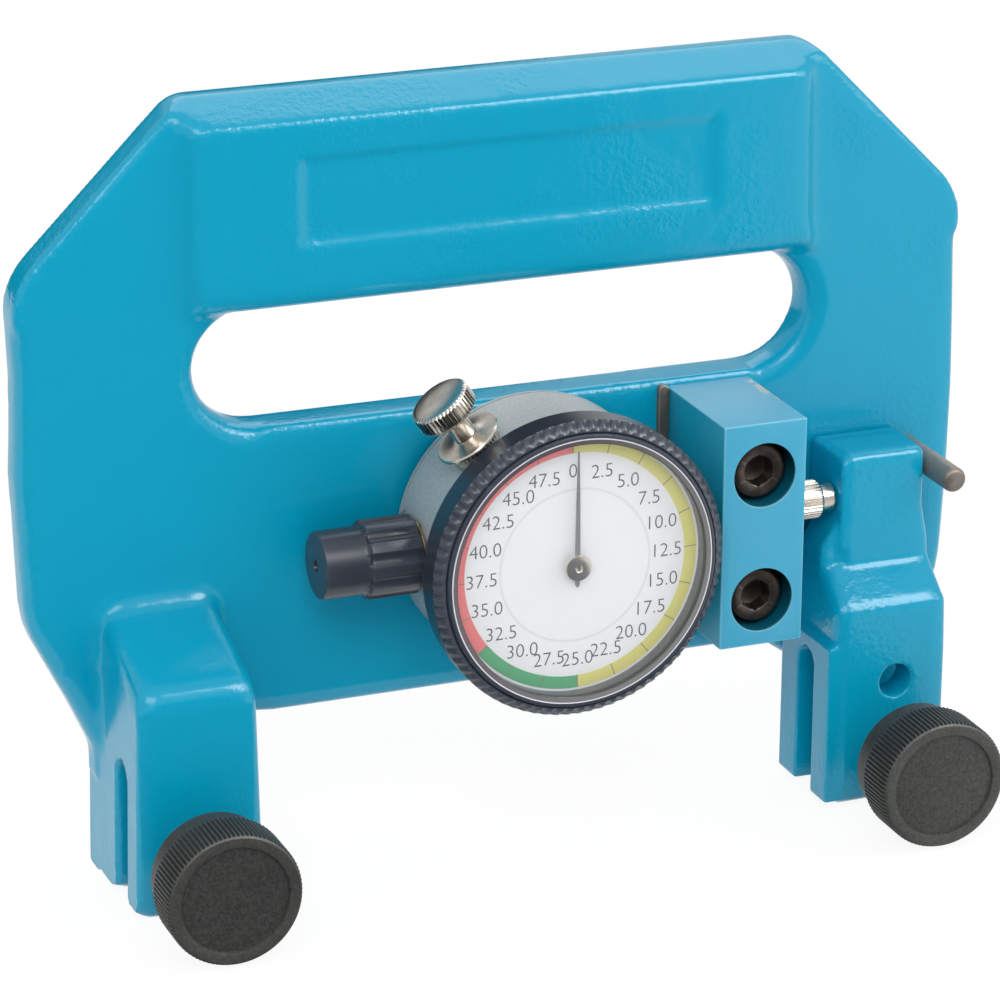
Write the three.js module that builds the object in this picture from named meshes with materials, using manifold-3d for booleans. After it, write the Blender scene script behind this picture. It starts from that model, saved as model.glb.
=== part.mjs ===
// Band saw tension meter, in millimetres. X runs along the blade, Y goes back from the viewer, Z is up.
// A cast frame with a hand slot carries a fixed blade foot at the left and a rocker arm at the right.
// A stretching blade swings the arm, whose upper end pushes in the contact point of a dial indicator.
// The origin is on the flat back of the frame, midway between the two clamp screws, level with the stem.
// Heights are written from the underside of the fixed foot, and depths from the flat back of the frame.
import * as THREE from "three";
import { mergeVertices } from "three/addons/utils/BufferGeometryUtils.js";
import Module from "manifold-3d";

const wasm = await Module();
wasm.setup();

// Clearances, and the facets of round shapes
const fit = 0.3;
const seat = 0.1;
const overrun = 3;
const roundSides = 32;
const middleSides = 20;
const smallSides = 14;
const smallestSides = 8;
const arcSteps = 3;
const bevelSteps = 2;
const meldDistance = 1e-4;

// Where the working axes lie
const gaugeLength = 138.6;
const clampHeight = 13.1;
const stemHeight = 59.5;
const stemDepth = 18.7;
const pivotHeight = 35.3;
const clampX = gaugeLength / 2;

// Frame casting
const frameShift = -1.2;
const frameHalfWidth = 93.3;
const frameHeight = 146;
const frameChamfer = 32;
const frameTaper = 2.6;
const frameTopRadius = 6;
const frameSideRadius = 14;
const frameShoulderHeight = 50;
const frameShoulderRadius = 20;
const frameHipHeight = 24;
const frameHipRadius = 9;
const plateThickness = 8.8;
const plateBottom = 28;
const frontEdgeRadius = 3.2;
const backEdgeRadius = 1;
const lobeRadius = 20.4;
const lobeHeight = 40.6;
const lobeSteps = 12;
const slotBottom = 82.8;
const slotHeight = 24.4;
const slotHalfLength = 61.5;

// Handle bar over the hand slot, with its bare recessed panel
const barDepth = 12.5;
const barHalfLength = 60.3;
const barEndRun = 3;
const barEndFillet = 5;
const barCornerRadius = 1.4;
const ridgeDepth = 4.5;
const barTopDrop = 4.3;
const barTopEdgeRadius = 1.8;
const barLipRadius = 3.4;
const panelHalfLength = 40.4;
const panelBottom = 117.5;
const panelHeight = 16.6;
const panelRecess = 0.8;
const panelCornerRadius = 1.2;

// Fixed foot, part of the frame casting
const footOuter = 9.8;
const footInner = 11.7;
const footFlare = 1;
const footDepth = 30.6;
const footShoulder = 43.4;
const footRise = 9.4;
const footShoulderRadius = 4;
const footRootFillet = 7;
const footToeRadius = 3;
const footEdgeRadius = 2.4;
const bladeSlotWidth = 7.4;
const bladeWallDepth = 14.7;
const fixedSlotTop = 27.8;

// Rocker arm
const armOuter = 10;
const armInner = 11.5;
const armDepth = 30.5;
const armBottom = 1.8;
const armShoulder = 42.3;
const armShoulderRise = 4.6;
const armShoulderRadius = 2.6;
const armEdgeRadius = 2.2;
const armTop = 68.8;
const armHeadDepth = 23.4;
const armHeadBack = 13.2;
const armHeadLeft = 61.3;
const armHeadWidth = 17.6;
const armHeadEdge = 1.8;
const armFlareTop = 56;
const armFlareBottom = 50.5;
const armFlareRadius = 3;
const armNeckHeight = 47;
const armSlotTop = 30.3;
const spareHoleHeight = 25.1;
const spareHoleOffset = 1.1;

// Pivot of the arm: the pin is fast in the arm and turns in a bush in the frame
const pivotRadius = 2.5;
const pivotDepthInArm = 17;
const bushWall = 1;
const ringPocketRadius = 5.4;
const ringPocketDepth = 2.4;
const ringThickness = 0.8;
const ringGroove = 0.5;
const ringOuterRadius = 4.2;
const ringMouthShare = 0.75;
const pinEndLength = 0.7;

// Stop pin, right of the arm's head
const stopRadius = 2.4;
const stopHeight = 64.7;
const stopReach = 31.5;
const stopRootDepth = 2.5;
const stopChamfer = 0.5;

// Block that holds the stem of the indicator, its key and its two socket cap screws
const blockLeft = 32.2;
const blockWidth = 16.5;
const blockBottom = 38.3;
const blockHeight = 43.6;
const blockDepth = 25.6;
const blockEdge = 0.35;
const blockScrewSpacing = 24.4;
const screwRadius = 3;
const screwHeadRadius = 5;
const screwHeadHeight = 6;
const screwHexRadius = 2.9;
const screwHexSides = 6;
const screwEdge = 0.35;
const screwHexDepth = 3.2;
const screwLength = 24;
const counterboreRadius = 5.9;
const headRecess = 2.6;
const keyWidth = 6;
const keyShow = 3.6;
const keyTop = 81.9;
const keyLength = 40;
const keySunk = 4.2;
const keyProud = 2.9;

// Blade clamp screws: a knurled knob on a threaded stud
const studRadius = 3;
const studTipRadius = 2.3;
const studTipLength = 1.6;
const studRest = 0.4;
const knobRadius = 12.2;
const knobKnurlDepth = 0.55;
const knobRidges = 32;
const knobRimWidth = 9.2;
const knobHubRadius = 10.9;
const knobHubLength = 5;
const knobGap = 9;
const knobRecessRadius = 9.3;
const knobRecessDepth = 0.8;
const knobEdge = 0.6;
const knobWebThickness = 3;

// Dial indicator: case, cover, stem, cap
const dialX = 2.2;
const caseRadius = 25.5;
const caseWall = 2.4;
const coverBack = 10.3;
const coverThickness = 1.2;
const coverRim = 0.6;
const coverScrewInset = 1.4;
const coverScrewRadius = 0.6;
const coverScrewHeadRadius = 1.1;
const coverScrewHead = 0.6;
const coverScrewLength = 4;
const coverScrews = 4;
const coverScrewTurn = 45;
const webThickness = 1.4;
const caseFront = 34.2;
const stemRadius = 4.76;
const stemInside = 1.4;
const stemShort = 0.4;
const plungerRadius = 2.2;
const capSpotRadius = 8.6;
const capSpotDepth = 1.3;
const collarRadius = 7.7;
const collarThickness = 0.8;
const collarNeckRadius = 4.2;
const collarNeckLength = 2.2;
const capRadius = 8.15;
const capFluteDepth = 0.7;
const capFlutes = 10;
const fluteSteps = 4;
const capFluteLength = 8.4;
const capNoseRadius = 6.75;
const capNoseLength = 9.6;
const capNoseEdge = 0.7;
const capBoreRadius = 4.7;
const capEndWall = 1.6;
const capDimpleRadius = 0.7;

// Plunger with its rack, contact point and return spring
const plungerDiscRadius = 4.1;
const plungerDiscThickness = 1;
const plungerDiscX = -31.4;
const springWire = 0.6;
const springTurns = 7;
const springSteps = 8;
const springSides = 5;
const springGap = 0.6;
const contactX = 49.6;
const contactKnurlRadius = 3.8;
const contactKnurlLength = 9.6;
const contactRidges = 14;
const contactKnurlDepth = 0.25;
const contactTipRadius = 2.8;
const contactChamfer = 0.5;
const contactStubRadius = 1.1;
const contactStubLength = 4;

// Movement: rack pinion and first gear, second pinion and gear, centre pinion with the needle
const rackModule = 0.3333;
const rackPinionTeeth = 12;
const rackTeeth = 8;
const rackFlat = 1.8;
const wheelModule = 0.2;
const firstTeeth = 84;
const secondTeeth = 85;
const pinionTeeth = 12;
const meshGap = 0.06;
const firstOffset = 9.5;
const arborRadius = 0.7;
const arborFit = 0.2;
const gearThickness = 0.8;
const gearGap = 0.7;
const webGap = 2.1;
const movementDepth = 21.5;
const movementThickness = 1;
const pillarRadius = 1.3;
const pillarAnglesShare = [0.28, 0.42, 0.84];

// Dial, needle, lens and bezel
const dialDepth = 35;
const dialThickness = 0.4;
const dialRadius = 25.2;
const dialHoleRadius = 1.6;
const needleLength = 22.2;
const needleTail = 4;
const needleRootWidth = 1.7;
const needleTipWidth = 0.5;
const needleThickness = 0.3;
const needleLift = 0.9;
const hubRadius = 2.5;
const hubBaseRadius = 1.3;
const hubFront = 36.9;
const hubEdge = 0.4;
const lensRadius = 25.2;
const lensBack = 37.4;
const lensThickness = 1;
const bezelBack = 31;
const bezelFront = 39;
const bezelRadius = 28;
const bezelRearEdge = 0.5;
const bezelSmoothLength = 1.9;
const knurlLength = 3.6;
const knurlProud = 0.2;
const knurlDepth = 0.8;
const knurlRidges = 44;
const bezelFrontRootRadius = 26.9;
const bezelFrontTopRadius = 25.9;
const bezelFrontEdge = 0.7;
const bezelLipRadius = 24.7;
const bezelLipThickness = 0.5;
const reflectorRadius = 24.3;

// Bezel clamp: a thumb screw and a flanged washer, on a radius of the case
const clampAngle = -36.2;
const clampDepth = 25.2;
const clampBossRadius = 3;
const clampBossLength = 1.4;
const clampThreadRadius = 1.5;
const washerFootRadius = 4.9;
const washerFootHeight = 2.8;
const washerRidges = 14;
const washerKnurlDepth = 0.25;
const washerFlangeRadius = 6;
const washerRimHeight = 0.7;
const washerDish = 1.2;
const thumbNeckRadius = 2.2;
const thumbNeckLength = 4.9;
const thumbRadius = 5.8;
const thumbHeight = 4.2;
const thumbRidges = 18;
const thumbKnurlDepth = 0.3;
const thumbEdge = 0.6;

// Places that follow from the sizes above
const lobeX = frameShift + frameHalfWidth - frameTaper - lobeRadius;
const stopX = armHeadLeft + armHeadWidth + fit + stopRadius;
const armBack = plateThickness + fit;
const slotFront = bladeWallDepth + bladeSlotWidth;
const blockBack = plateThickness + seat;
const blockFront = blockBack + blockDepth;
const blockRight = blockLeft + blockWidth;
const blockMiddle = blockLeft + blockWidth / 2;
const blockScrewHeights = [-1, 1].map((side) => stemHeight + (side * blockScrewSpacing) / 2);
const screwHeadFront = blockFront - headRecess;
const screwHeadBack = screwHeadFront - screwHeadHeight;
const screwTipDepth = screwHeadBack - screwLength;
const knobBack = footDepth + knobGap;
const knobFront = knobBack + knobHubLength + knobRimWidth;
const caseBack = coverBack + coverThickness + seat;
const spotX = dialX - caseRadius + capSpotDepth;
const collarLeft = spotX - seat - collarThickness;
const capRight = collarLeft - seat;
const capLeft = capRight - capFluteLength - capNoseLength;
const movementRadius = caseRadius - caseWall - clampBossLength - fit;
const hubBack = dialDepth + needleLift / 2;
const firstLayer = movementDepth + movementThickness + gearGap;
const secondLayer = firstLayer + gearThickness + gearGap;
const webDepth = secondLayer + gearThickness + webGap;
const arborBack = movementDepth + seat;
const arborFront = webDepth + webThickness - fit;

// Finishes
const finish = (color, roughness, metalness) => ({ color, roughness, metalness });
const finishes = {
  castPaint: finish(0x0a97b8, 0.28, 0),
  blockPaint: finish(0x3fa5c6, 0.4, 0),
  darkSteel: finish(0x4a4745, 0.45, 0.8),
  blackOxide: finish(0x2e2c29, 0.5, 0.6),
  knobBlack: finish(0x353432, 0.6, 0.2),
  nickel: finish(0xb9b4a4, 0.25, 1),
  brightSteel: finish(0xb0b2b4, 0.3, 1),
  brass: finish(0xb08c4a, 0.3, 1),
  caseGrey: finish(0x9aa6ad, 0.45, 0.3),
  navyPlastic: finish(0x2c3244, 0.35, 0),
  dialWhite: finish(0xeceded, 0.6, 0),
  needleGrey: finish(0x85887c, 0.4, 0.6),
  clearLens: finish(0xdfe6e8, 0.05, 0),
};

// A geometry as a solid, and a solid as a named mesh
function solidOf(geometry) {
  const bare = new THREE.BufferGeometry();
  bare.setAttribute("position", geometry.getAttribute("position"));
  if (geometry.index) bare.setIndex(geometry.index);
  const merged = mergeVertices(bare, meldDistance);
  const corners = merged.index.array;
  const faces = new Uint32Array(corners.length);
  let kept = 0;
  for (let i = 0; i < corners.length; i += 3) {
    const [a, b, c] = corners.slice(i, i + 3);
    if (a === b || b === c || c === a) continue;
    faces.set([a, b, c], kept);
    kept += 3;
  }
  const build = () =>
    new wasm.Manifold(
      new wasm.Mesh({
        numProp: 3,
        vertProperties: merged.attributes.position.array,
        triVerts: faces.slice(0, kept),
      }),
    );
  const made = build();
  if (made.volume() > 0) return made;
  for (let i = 0; i < kept; i += 3) {
    [faces[i + 1], faces[i + 2]] = [faces[i + 2], faces[i + 1]];
  }
  return build();
}

function meshOf(name, solid, look) {
  const { vertProperties, triVerts } = solid.getMesh();
  const geometry = new THREE.BufferGeometry();
  geometry.setAttribute("position", new THREE.BufferAttribute(Float32Array.from(vertProperties), 3));
  geometry.setIndex(new THREE.BufferAttribute(Uint32Array.from(triVerts), 1));
  geometry.computeVertexNormals();
  const mesh = new THREE.Mesh(geometry, new THREE.MeshStandardMaterial(look));
  mesh.name = name;
  return mesh;
}

const join = (first, ...others) => others.reduce((sum, next) => sum.add(next), first);
const cut = (body, ...tools) => tools.reduce((rest, tool) => rest.subtract(tool), body);

// A closed outline through corners [u, v, radius].
// Each corner is rounded by an arc as far as its sides allow.
function outline(corners) {
  const shape = new THREE.Shape();
  const at = (i) => new THREE.Vector2(...corners.at(i % corners.length).slice(0, 2));
  corners.forEach(([, , radius = 0], i) => {
    const here = at(i);
    const back = at(i - 1).sub(here);
    const on = at(i + 1).sub(here);
    const reach = Math.min(back.length(), on.length()) / 2;
    back.normalize();
    on.normalize();
    const half = Math.acos(THREE.MathUtils.clamp(back.dot(on), -1, 1)) / 2;
    const round = Math.min(radius, reach * Math.tan(half));
    const run = round / Math.tan(half);
    const from = here.clone().addScaledVector(back, run);
    if (i === 0) shape.moveTo(from.x, from.y);
    else shape.lineTo(from.x, from.y);
    if (round === 0) return;
    const inward = back.clone().add(on).normalize();
    const centre = here.clone().addScaledVector(inward, round / Math.sin(half));
    const to = here.clone().addScaledVector(on, run);
    const start = from.sub(centre).angle();
    const end = to.clone().sub(centre).angle();
    shape.absarc(centre.x, centre.y, round, start, end, back.cross(on) > 0);
  });
  shape.closePath();
  return shape;
}

// An outline whose radius swings between two circles, as knurls, flutes and teeth do
function toothed(outer, inner, count, tipShare) {
  const points = [];
  for (let i = 0; i < count; i += 1) {
    [
      [inner, 0],
      [outer, (1 - tipShare) / 2],
      [outer, (1 + tipShare) / 2],
    ].forEach(([radius, share]) => {
      const angle = ((i + share) / count) * 2 * Math.PI;
      points.push(new THREE.Vector2(radius * Math.cos(angle), radius * Math.sin(angle)));
    });
    if (tipShare === 0) points.pop();
  }
  return new THREE.Shape(points);
}

function circle(radius, sides, x = 0, height = 0) {
  return Array.from({ length: sides }, (_, i) => {
    const angle = (i / sides) * 2 * Math.PI;
    return new THREE.Vector2(x + radius * Math.cos(angle), height + radius * Math.sin(angle));
  });
}

// A band of ridges along Z on a turned core, with a hole where the core is open
function ridgeBand(radius, depth, ridges, from, to, hole = 0) {
  const shape = toothed(radius, radius - depth, ridges, 0);
  if (hole > 0) shape.holes.push(new THREE.Path(circle(hole, roundSides).reverse()));
  return prism(shape, to - from, 0).translate(0, 0, from);
}

// An outline in the plane Z up, X right, extruded from one depth to another
function throughDepth(shape, from, to, edge = 0) {
  const geometry = prism(shape, to - from, edge);
  geometry.rotateX(Math.PI / 2);
  geometry.translate(0, -from, 0);
  return solidOf(geometry);
}

// An outline of depth and height, extruded along X
function alongX(shape, from, to, edge = 0, reshape = (geometry) => geometry) {
  const geometry = prism(shape, to - from, edge);
  geometry.applyMatrix4(
    new THREE.Matrix4().makeBasis(
      new THREE.Vector3(0, -1, 0),
      new THREE.Vector3(0, 0, 1),
      new THREE.Vector3(1, 0, 0),
    ),
  );
  geometry.translate(from, 0, 0);
  return solidOf(reshape(geometry));
}

// An outline of X and depth, extruded up
function upward(shape, from, to, edge = 0) {
  const geometry = prism(shape, to - from, edge);
  geometry.scale(1, -1, 1);
  geometry.translate(0, 0, from);
  return solidOf(geometry);
}

function prism(shape, length, edge) {
  const geometry = new THREE.ExtrudeGeometry(shape, {
    depth: length - 2 * edge,
    bevelEnabled: edge > 0,
    bevelThickness: edge,
    bevelSize: edge,
    bevelOffset: -edge,
    bevelSegments: bevelSteps,
    curveSegments: arcSteps,
    steps: 1,
  });
  geometry.translate(0, 0, edge);
  return geometry;
}

// A profile of [radius, distance] turned about the Z axis
function turned(profile, sides) {
  const points = profile.map(([radius, along]) => new THREE.Vector2(radius, along));
  const geometry = new THREE.LatheGeometry(points, sides);
  geometry.rotateX(Math.PI / 2);
  return geometry;
}

const toDepth = (geometry, x, height) => solidOf(geometry.rotateX(Math.PI / 2).translate(x, 0, height));
const toX = (geometry, depth, height) => solidOf(geometry.rotateY(Math.PI / 2).translate(0, -depth, height));

// Round bars and bores: along the depth, and along X
function barInDepth(radius, from, to, x, height, sides = smallSides) {
  return toDepth(turned([[0, from], [radius, from], [radius, to], [0, to]], sides), x, height);
}

function barInX(radius, from, to, depth, height, sides = smallSides) {
  return toX(turned([[0, from], [radius, from], [radius, to], [0, to]], sides), depth, height);
}

// Radial pieces of the bezel clamp, built up from the middle of the dial
function toClamp(geometry) {
  geometry.rotateY(THREE.MathUtils.degToRad(clampAngle));
  geometry.translate(dialX, -clampDepth, stemHeight);
  return solidOf(geometry);
}

// The frame's outer outline, seen from the front, and the hand slot in it
function frameOutline() {
  const left = frameShift - frameHalfWidth;
  const right = frameShift + frameHalfWidth;
  const shoulder = frameHeight - frameChamfer;
  return outline([
    [left, shoulder, frameSideRadius],
    [left + frameChamfer, frameHeight, frameTopRadius],
    [right - frameChamfer, frameHeight, frameTopRadius],
    [right, shoulder, frameSideRadius],
    ...lobeArc(),
    [-clampX + footInner, plateBottom, backEdgeRadius],
    [-clampX + footInner, 0],
    [-clampX - footOuter - footFlare, 0],
    [-clampX - footOuter - footFlare, frameHipHeight, frameHipRadius],
    [left + frameTaper, frameShoulderHeight, frameShoulderRadius],
  ]);
}

// The lower right corner bulges down round the pivot
function lobeArc() {
  const turn = Math.PI - Math.asin((lobeHeight - plateBottom) / lobeRadius);
  return Array.from({ length: lobeSteps + 1 }, (_, i) => {
    const angle = (-turn * i) / lobeSteps;
    return [lobeX + lobeRadius * Math.cos(angle), lobeHeight + lobeRadius * Math.sin(angle)];
  });
}

function roundedSlot(halfLength, bottom, height, middle) {
  const radius = height / 2;
  return outline([
    [middle - halfLength, bottom, radius],
    [middle + halfLength, bottom, radius],
    [middle + halfLength, bottom + height, radius],
    [middle - halfLength, bottom + height, radius],
  ]);
}

// A plate with one rounding on its front edges and another on its back edges
function roundedPlate(shape, thickness) {
  const front = throughDepth(shape, -frontEdgeRadius, thickness, frontEdgeRadius);
  const back = throughDepth(shape, 0, thickness + frontEdgeRadius, backEdgeRadius);
  return front.intersect(back);
}

// The handle bar stands proud of the wings and blends into them at its ends
function handleBar() {
  const end = barHalfLength;
  const foot = barHalfLength + barEndRun;
  const side = frameHalfWidth;
  const plan = outline([
    [frameShift - side, 0],
    [frameShift - side, plateThickness - seat],
    [frameShift - foot, plateThickness - seat, barEndFillet],
    [frameShift - end, barDepth, barCornerRadius],
    [frameShift + end, barDepth, barCornerRadius],
    [frameShift + foot, plateThickness - seat, barEndFillet],
    [frameShift + side, plateThickness - seat],
    [frameShift + side, 0],
  ]);
  const slotTop = slotBottom + slotHeight;
  const slope = barTopDrop / (barDepth - ridgeDepth);
  const section = outline([
    [backEdgeRadius, slotTop],
    [barDepth, slotTop, barLipRadius],
    [barDepth, frameHeight - barTopDrop, barTopEdgeRadius],
    [backEdgeRadius, frameHeight + slope * (ridgeDepth - backEdgeRadius)],
  ]);
  const reach = frameHalfWidth + overrun;
  const bar = upward(plan, slotTop - seat, frameHeight + overrun);
  const rounded = alongX(section, frameShift - reach, frameShift + reach);
  const ends = throughDepth(frameOutline(), -overrun, barDepth + overrun);
  return bar.intersect(rounded).intersect(ends);
}

// The fixed foot: a block on the front of the plate with a sloped shoulder, which blends into the plate
function fixedFoot() {
  const slope = footRise / (footDepth - plateThickness);
  const root = footShoulder + footRise;
  const buried = plateThickness / 2;
  const section = outline([
    [buried, 0],
    [buried, root + slope * buried],
    [footDepth, footShoulder, Math.max(footShoulderRadius, footEdgeRadius + seat)],
    [footDepth, 0, Math.max(footToeRadius, footEdgeRadius + seat)],
  ]);
  const blend = outline([
    [buried, root],
    [buried, root + footRootFillet],
    [plateThickness, root + footRootFillet],
    [plateThickness, root, footRootFillet],
    [plateThickness + footRootFillet, root - slope * footRootFillet],
    [plateThickness, root - footRootFillet],
  ]);
  const half = (footOuter + footInner) / 2;
  const middle = -clampX + (footInner - footOuter) / 2;
  const inside = half - footEdgeRadius;
  return join(
    alongX(section, middle - half, middle + half, footEdgeRadius, (block) => draft(block, middle, half)),
    alongX(blend, middle - inside, middle + inside),
  );
}

// Sides that spread from the shoulder of the foot to its underside
function draft(block, middle, half) {
  const places = block.getAttribute("position");
  for (let i = 0; i < places.count; i += 1) {
    const down = Math.max(0, (footShoulder - places.getZ(i)) / footShoulder);
    const spread = 1 + (footFlare * down) / half;
    places.setX(i, middle + (places.getX(i) - middle) * spread);
  }
  return block;
}

// A blade slot, open at the bottom and at both sides, with a round top
function bladeSlot(x, halfReach, top) {
  const shape = outline([
    [bladeWallDepth, -overrun],
    [bladeWallDepth, top, bladeSlotWidth / 2],
    [bladeWallDepth + bladeSlotWidth, top, bladeSlotWidth / 2],
    [bladeWallDepth + bladeSlotWidth, -overrun],
  ]);
  return alongX(shape, x - halfReach, x + halfReach);
}

function frameCasting() {
  const shape = frameOutline();
  shape.holes.push(roundedSlot(slotHalfLength, slotBottom, slotHeight, frameShift));
  const plate = roundedPlate(shape, plateThickness);
  const topCut = outline([
    [-overrun, frameHeight - barTopDrop],
    [-overrun, frameHeight],
    [ridgeDepth, frameHeight],
    [barDepth, frameHeight - barTopDrop],
    [barDepth, -overrun],
    [-overrun, -overrun],
  ]);
  const reach = frameHalfWidth + overrun;
  const top = alongX(topCut, frameShift - reach, frameShift + reach);
  return cut(
    join(plate.intersect(top), handleBar(), fixedFoot()),
    throughDepth(panelShape(), barDepth - panelRecess, barDepth + overrun),
    bladeSlot(-clampX, footOuter + footInner, fixedSlotTop),
    boreInDepth(studRadius, slotFront, footDepth, -clampX, clampHeight),
    throughDepth(keyOutline(fit), plateThickness - keySunk - fit, plateThickness + overrun),
    boreInDepth(stopRadius, stopRootDepth - fit, plateThickness, stopX, stopHeight),
    boreInDepth(pivotRadius + bushWall + fit, 0, plateThickness, clampX, pivotHeight),
    barInDepth(ringPocketRadius, -overrun, ringPocketDepth, clampX, pivotHeight),
    ...blockScrewHeights.map((height) =>
      boreInDepth(screwRadius, screwTipDepth - fit, plateThickness, blockMiddle, height),
    ),
  );
}

// The bare panel in the handle bar
function panelShape() {
  const top = panelBottom + panelHeight;
  return outline([
    [frameShift - panelHalfLength, panelBottom, panelCornerRadius],
    [frameShift + panelHalfLength, panelBottom, panelCornerRadius],
    [frameShift + panelHalfLength, top, panelCornerRadius],
    [frameShift - panelHalfLength, top, panelCornerRadius],
  ]);
}

// The key lies upright in the corner between the plate and the block, and has round ends
function keyOutline(grow) {
  const left = blockLeft - keyShow - grow;
  const right = blockLeft - keyShow + keyWidth + grow;
  const radius = (right - left) / 2;
  const top = keyTop + grow;
  const bottom = keyTop - keyLength - grow;
  return outline([
    [left, bottom, radius],
    [right, bottom, radius],
    [right, top, radius],
    [left, top, radius],
  ]);
}

function boreInDepth(radius, from, to, x, height) {
  return barInDepth(radius + fit, from - fit, to + overrun, x, height);
}

function locatingKey() {
  return throughDepth(keyOutline(0), plateThickness - keySunk, plateThickness + keyProud);
}

function clampBlock() {
  const face = outline([
    [blockLeft, blockBottom],
    [blockRight, blockBottom],
    [blockRight, blockBottom + blockHeight],
    [blockLeft, blockBottom + blockHeight],
  ]);
  const keyRight = blockLeft - keyShow + keyWidth + fit;
  const rebate = outline([
    [blockLeft - overrun, blockBottom - overrun],
    [keyRight, blockBottom - overrun],
    [keyRight, blockBottom + blockHeight + overrun],
    [blockLeft - overrun, blockBottom + blockHeight + overrun],
  ]);
  return cut(
    throughDepth(face, blockBack, blockFront, blockEdge),
    throughDepth(rebate, blockBack - overrun, plateThickness + keyProud + fit),
    barInX(stemRadius + fit, blockLeft - overrun, blockRight + overrun, stemDepth, stemHeight, middleSides),
    ...blockScrewHeights.flatMap((height) => [
      barInDepth(screwRadius + fit, blockBack - overrun, blockFront, blockMiddle, height),
      barInDepth(
        counterboreRadius,
        screwHeadBack - seat,
        blockFront + overrun,
        blockMiddle,
        height,
        middleSides,
      ),
    ]),
  );
}

// A socket cap screw seen from its head: the head is in front and the shank goes back into the frame
function blockScrew(height) {
  const profile = [
    [0, screwTipDepth],
    [screwRadius - screwEdge, screwTipDepth],
    [screwRadius, screwTipDepth + screwEdge],
    [screwRadius, screwHeadBack],
    [screwHeadRadius, screwHeadBack],
    [screwHeadRadius, screwHeadFront - screwEdge],
    [screwHeadRadius - screwEdge, screwHeadFront],
    [0, screwHeadFront],
  ];
  const socketFloor = screwHeadFront - screwHexDepth;
  return cut(
    toDepth(turned(profile, middleSides), blockMiddle, height),
    barInDepth(screwHexRadius, socketFloor, blockFront, blockMiddle, height, screwHexSides),
  );
}

function stopPin() {
  const profile = [
    [0, stopRootDepth],
    [stopRadius, stopRootDepth],
    [stopRadius, stopReach - stopChamfer],
    [stopRadius - stopChamfer, stopReach],
    [0, stopReach],
  ];
  return toDepth(turned(profile, smallSides), stopX, stopHeight);
}

// The rocker arm: a slotted foot below, a narrower head above, and a flare between their left sides
function rockerArm() {
  const left = clampX - armInner;
  const right = clampX + armOuter;
  const foot = outline([
    [armBack, armBottom],
    [armBack, armNeckHeight],
    [armHeadBack, armNeckHeight + (armHeadBack - armBack)],
    [armHeadDepth, armShoulder + armShoulderRise, armShoulderRadius],
    [armDepth, armShoulder, Math.max(armShoulderRadius, armEdgeRadius + seat)],
    [armDepth, armBottom, Math.max(footToeRadius, armEdgeRadius + seat)],
  ]);
  const head = outline([
    [armHeadBack, armBottom + armShoulder / 2],
    [armHeadBack, armTop],
    [armHeadDepth, armTop, armHeadEdge + seat],
    [armHeadDepth, armBottom + armShoulder / 2],
  ]);
  const flare = outline([
    [left, armShoulder - armShoulderRise],
    [left, armFlareBottom, armFlareRadius],
    [armHeadLeft, armFlareTop, armFlareRadius],
    [armHeadLeft, armFlareTop + armFlareRadius],
    [clampX, armFlareTop + armFlareRadius],
    [clampX, armShoulder - armShoulderRise],
  ]);
  return cut(
    join(
      alongX(foot, left, right, armEdgeRadius),
      alongX(head, armHeadLeft, armHeadLeft + armHeadWidth, armHeadEdge),
      throughDepth(flare, armHeadBack, armHeadDepth - armHeadEdge / 2, armHeadEdge / 2),
    ),
    bladeSlot(clampX, armInner + armOuter, armSlotTop),
    boreInDepth(studRadius, slotFront, armDepth, clampX, clampHeight),
    boreInDepth(studRadius, slotFront, armDepth, clampX + spareHoleOffset, spareHoleHeight),
    boreInDepth(pivotRadius, armBack, armBack + pivotDepthInArm - overrun, clampX, pivotHeight),
  );
}

// The pin's grooved end stands in a pocket in the back of the frame
function pivotPin() {
  const ringFront = ringPocketDepth - fit;
  const ringBack = ringFront - ringThickness;
  const grooveRadius = pivotRadius - ringGroove;
  const profile = [
    [0, ringBack - seat - pinEndLength],
    [pivotRadius, ringBack - seat - pinEndLength],
    [pivotRadius, ringBack - seat],
    [grooveRadius, ringBack - seat],
    [grooveRadius, ringFront + seat],
    [pivotRadius, ringFront + seat],
    [pivotRadius, armBack + pivotDepthInArm - fit],
    [0, armBack + pivotDepthInArm - fit],
  ];
  return toDepth(turned(profile, smallSides), clampX, pivotHeight);
}

// An open ring that snaps into the groove of the pin
function pivotRing() {
  const front = ringPocketDepth - fit;
  const inner = pivotRadius - ringGroove + seat;
  const mouth = inner * ringMouthShare;
  const gap = outline([
    [clampX - mouth, pivotHeight],
    [clampX + mouth, pivotHeight],
    [clampX + mouth, pivotHeight - ringPocketRadius],
    [clampX - mouth, pivotHeight - ringPocketRadius],
  ]);
  return cut(
    barInDepth(ringOuterRadius, front - ringThickness, front, clampX, pivotHeight),
    barInDepth(inner, -overrun, plateThickness, clampX, pivotHeight),
    throughDepth(gap, -overrun, plateThickness),
  );
}

function pivotBush() {
  const profile = [
    [pivotRadius + fit, ringPocketDepth + seat],
    [pivotRadius + bushWall, ringPocketDepth + seat],
    [pivotRadius + bushWall, plateThickness],
    [pivotRadius + fit, plateThickness],
    [pivotRadius + fit, ringPocketDepth + seat],
  ];
  return toDepth(turned(profile, smallSides), clampX, pivotHeight);
}

// A clamp screw: the stud's tip rests inside the front leg of the foot, out of the blade slot
function stud(x) {
  const tip = slotFront + studRest;
  const end = knobFront - knobWebThickness - fit;
  const profile = [
    [0, tip],
    [studTipRadius, tip],
    [studTipRadius, tip + studTipLength],
    [studRadius, tip + studTipLength + studRadius - studTipRadius],
    [studRadius, end],
    [0, end],
  ];
  return toDepth(turned(profile, smallSides), x, clampHeight);
}

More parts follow.
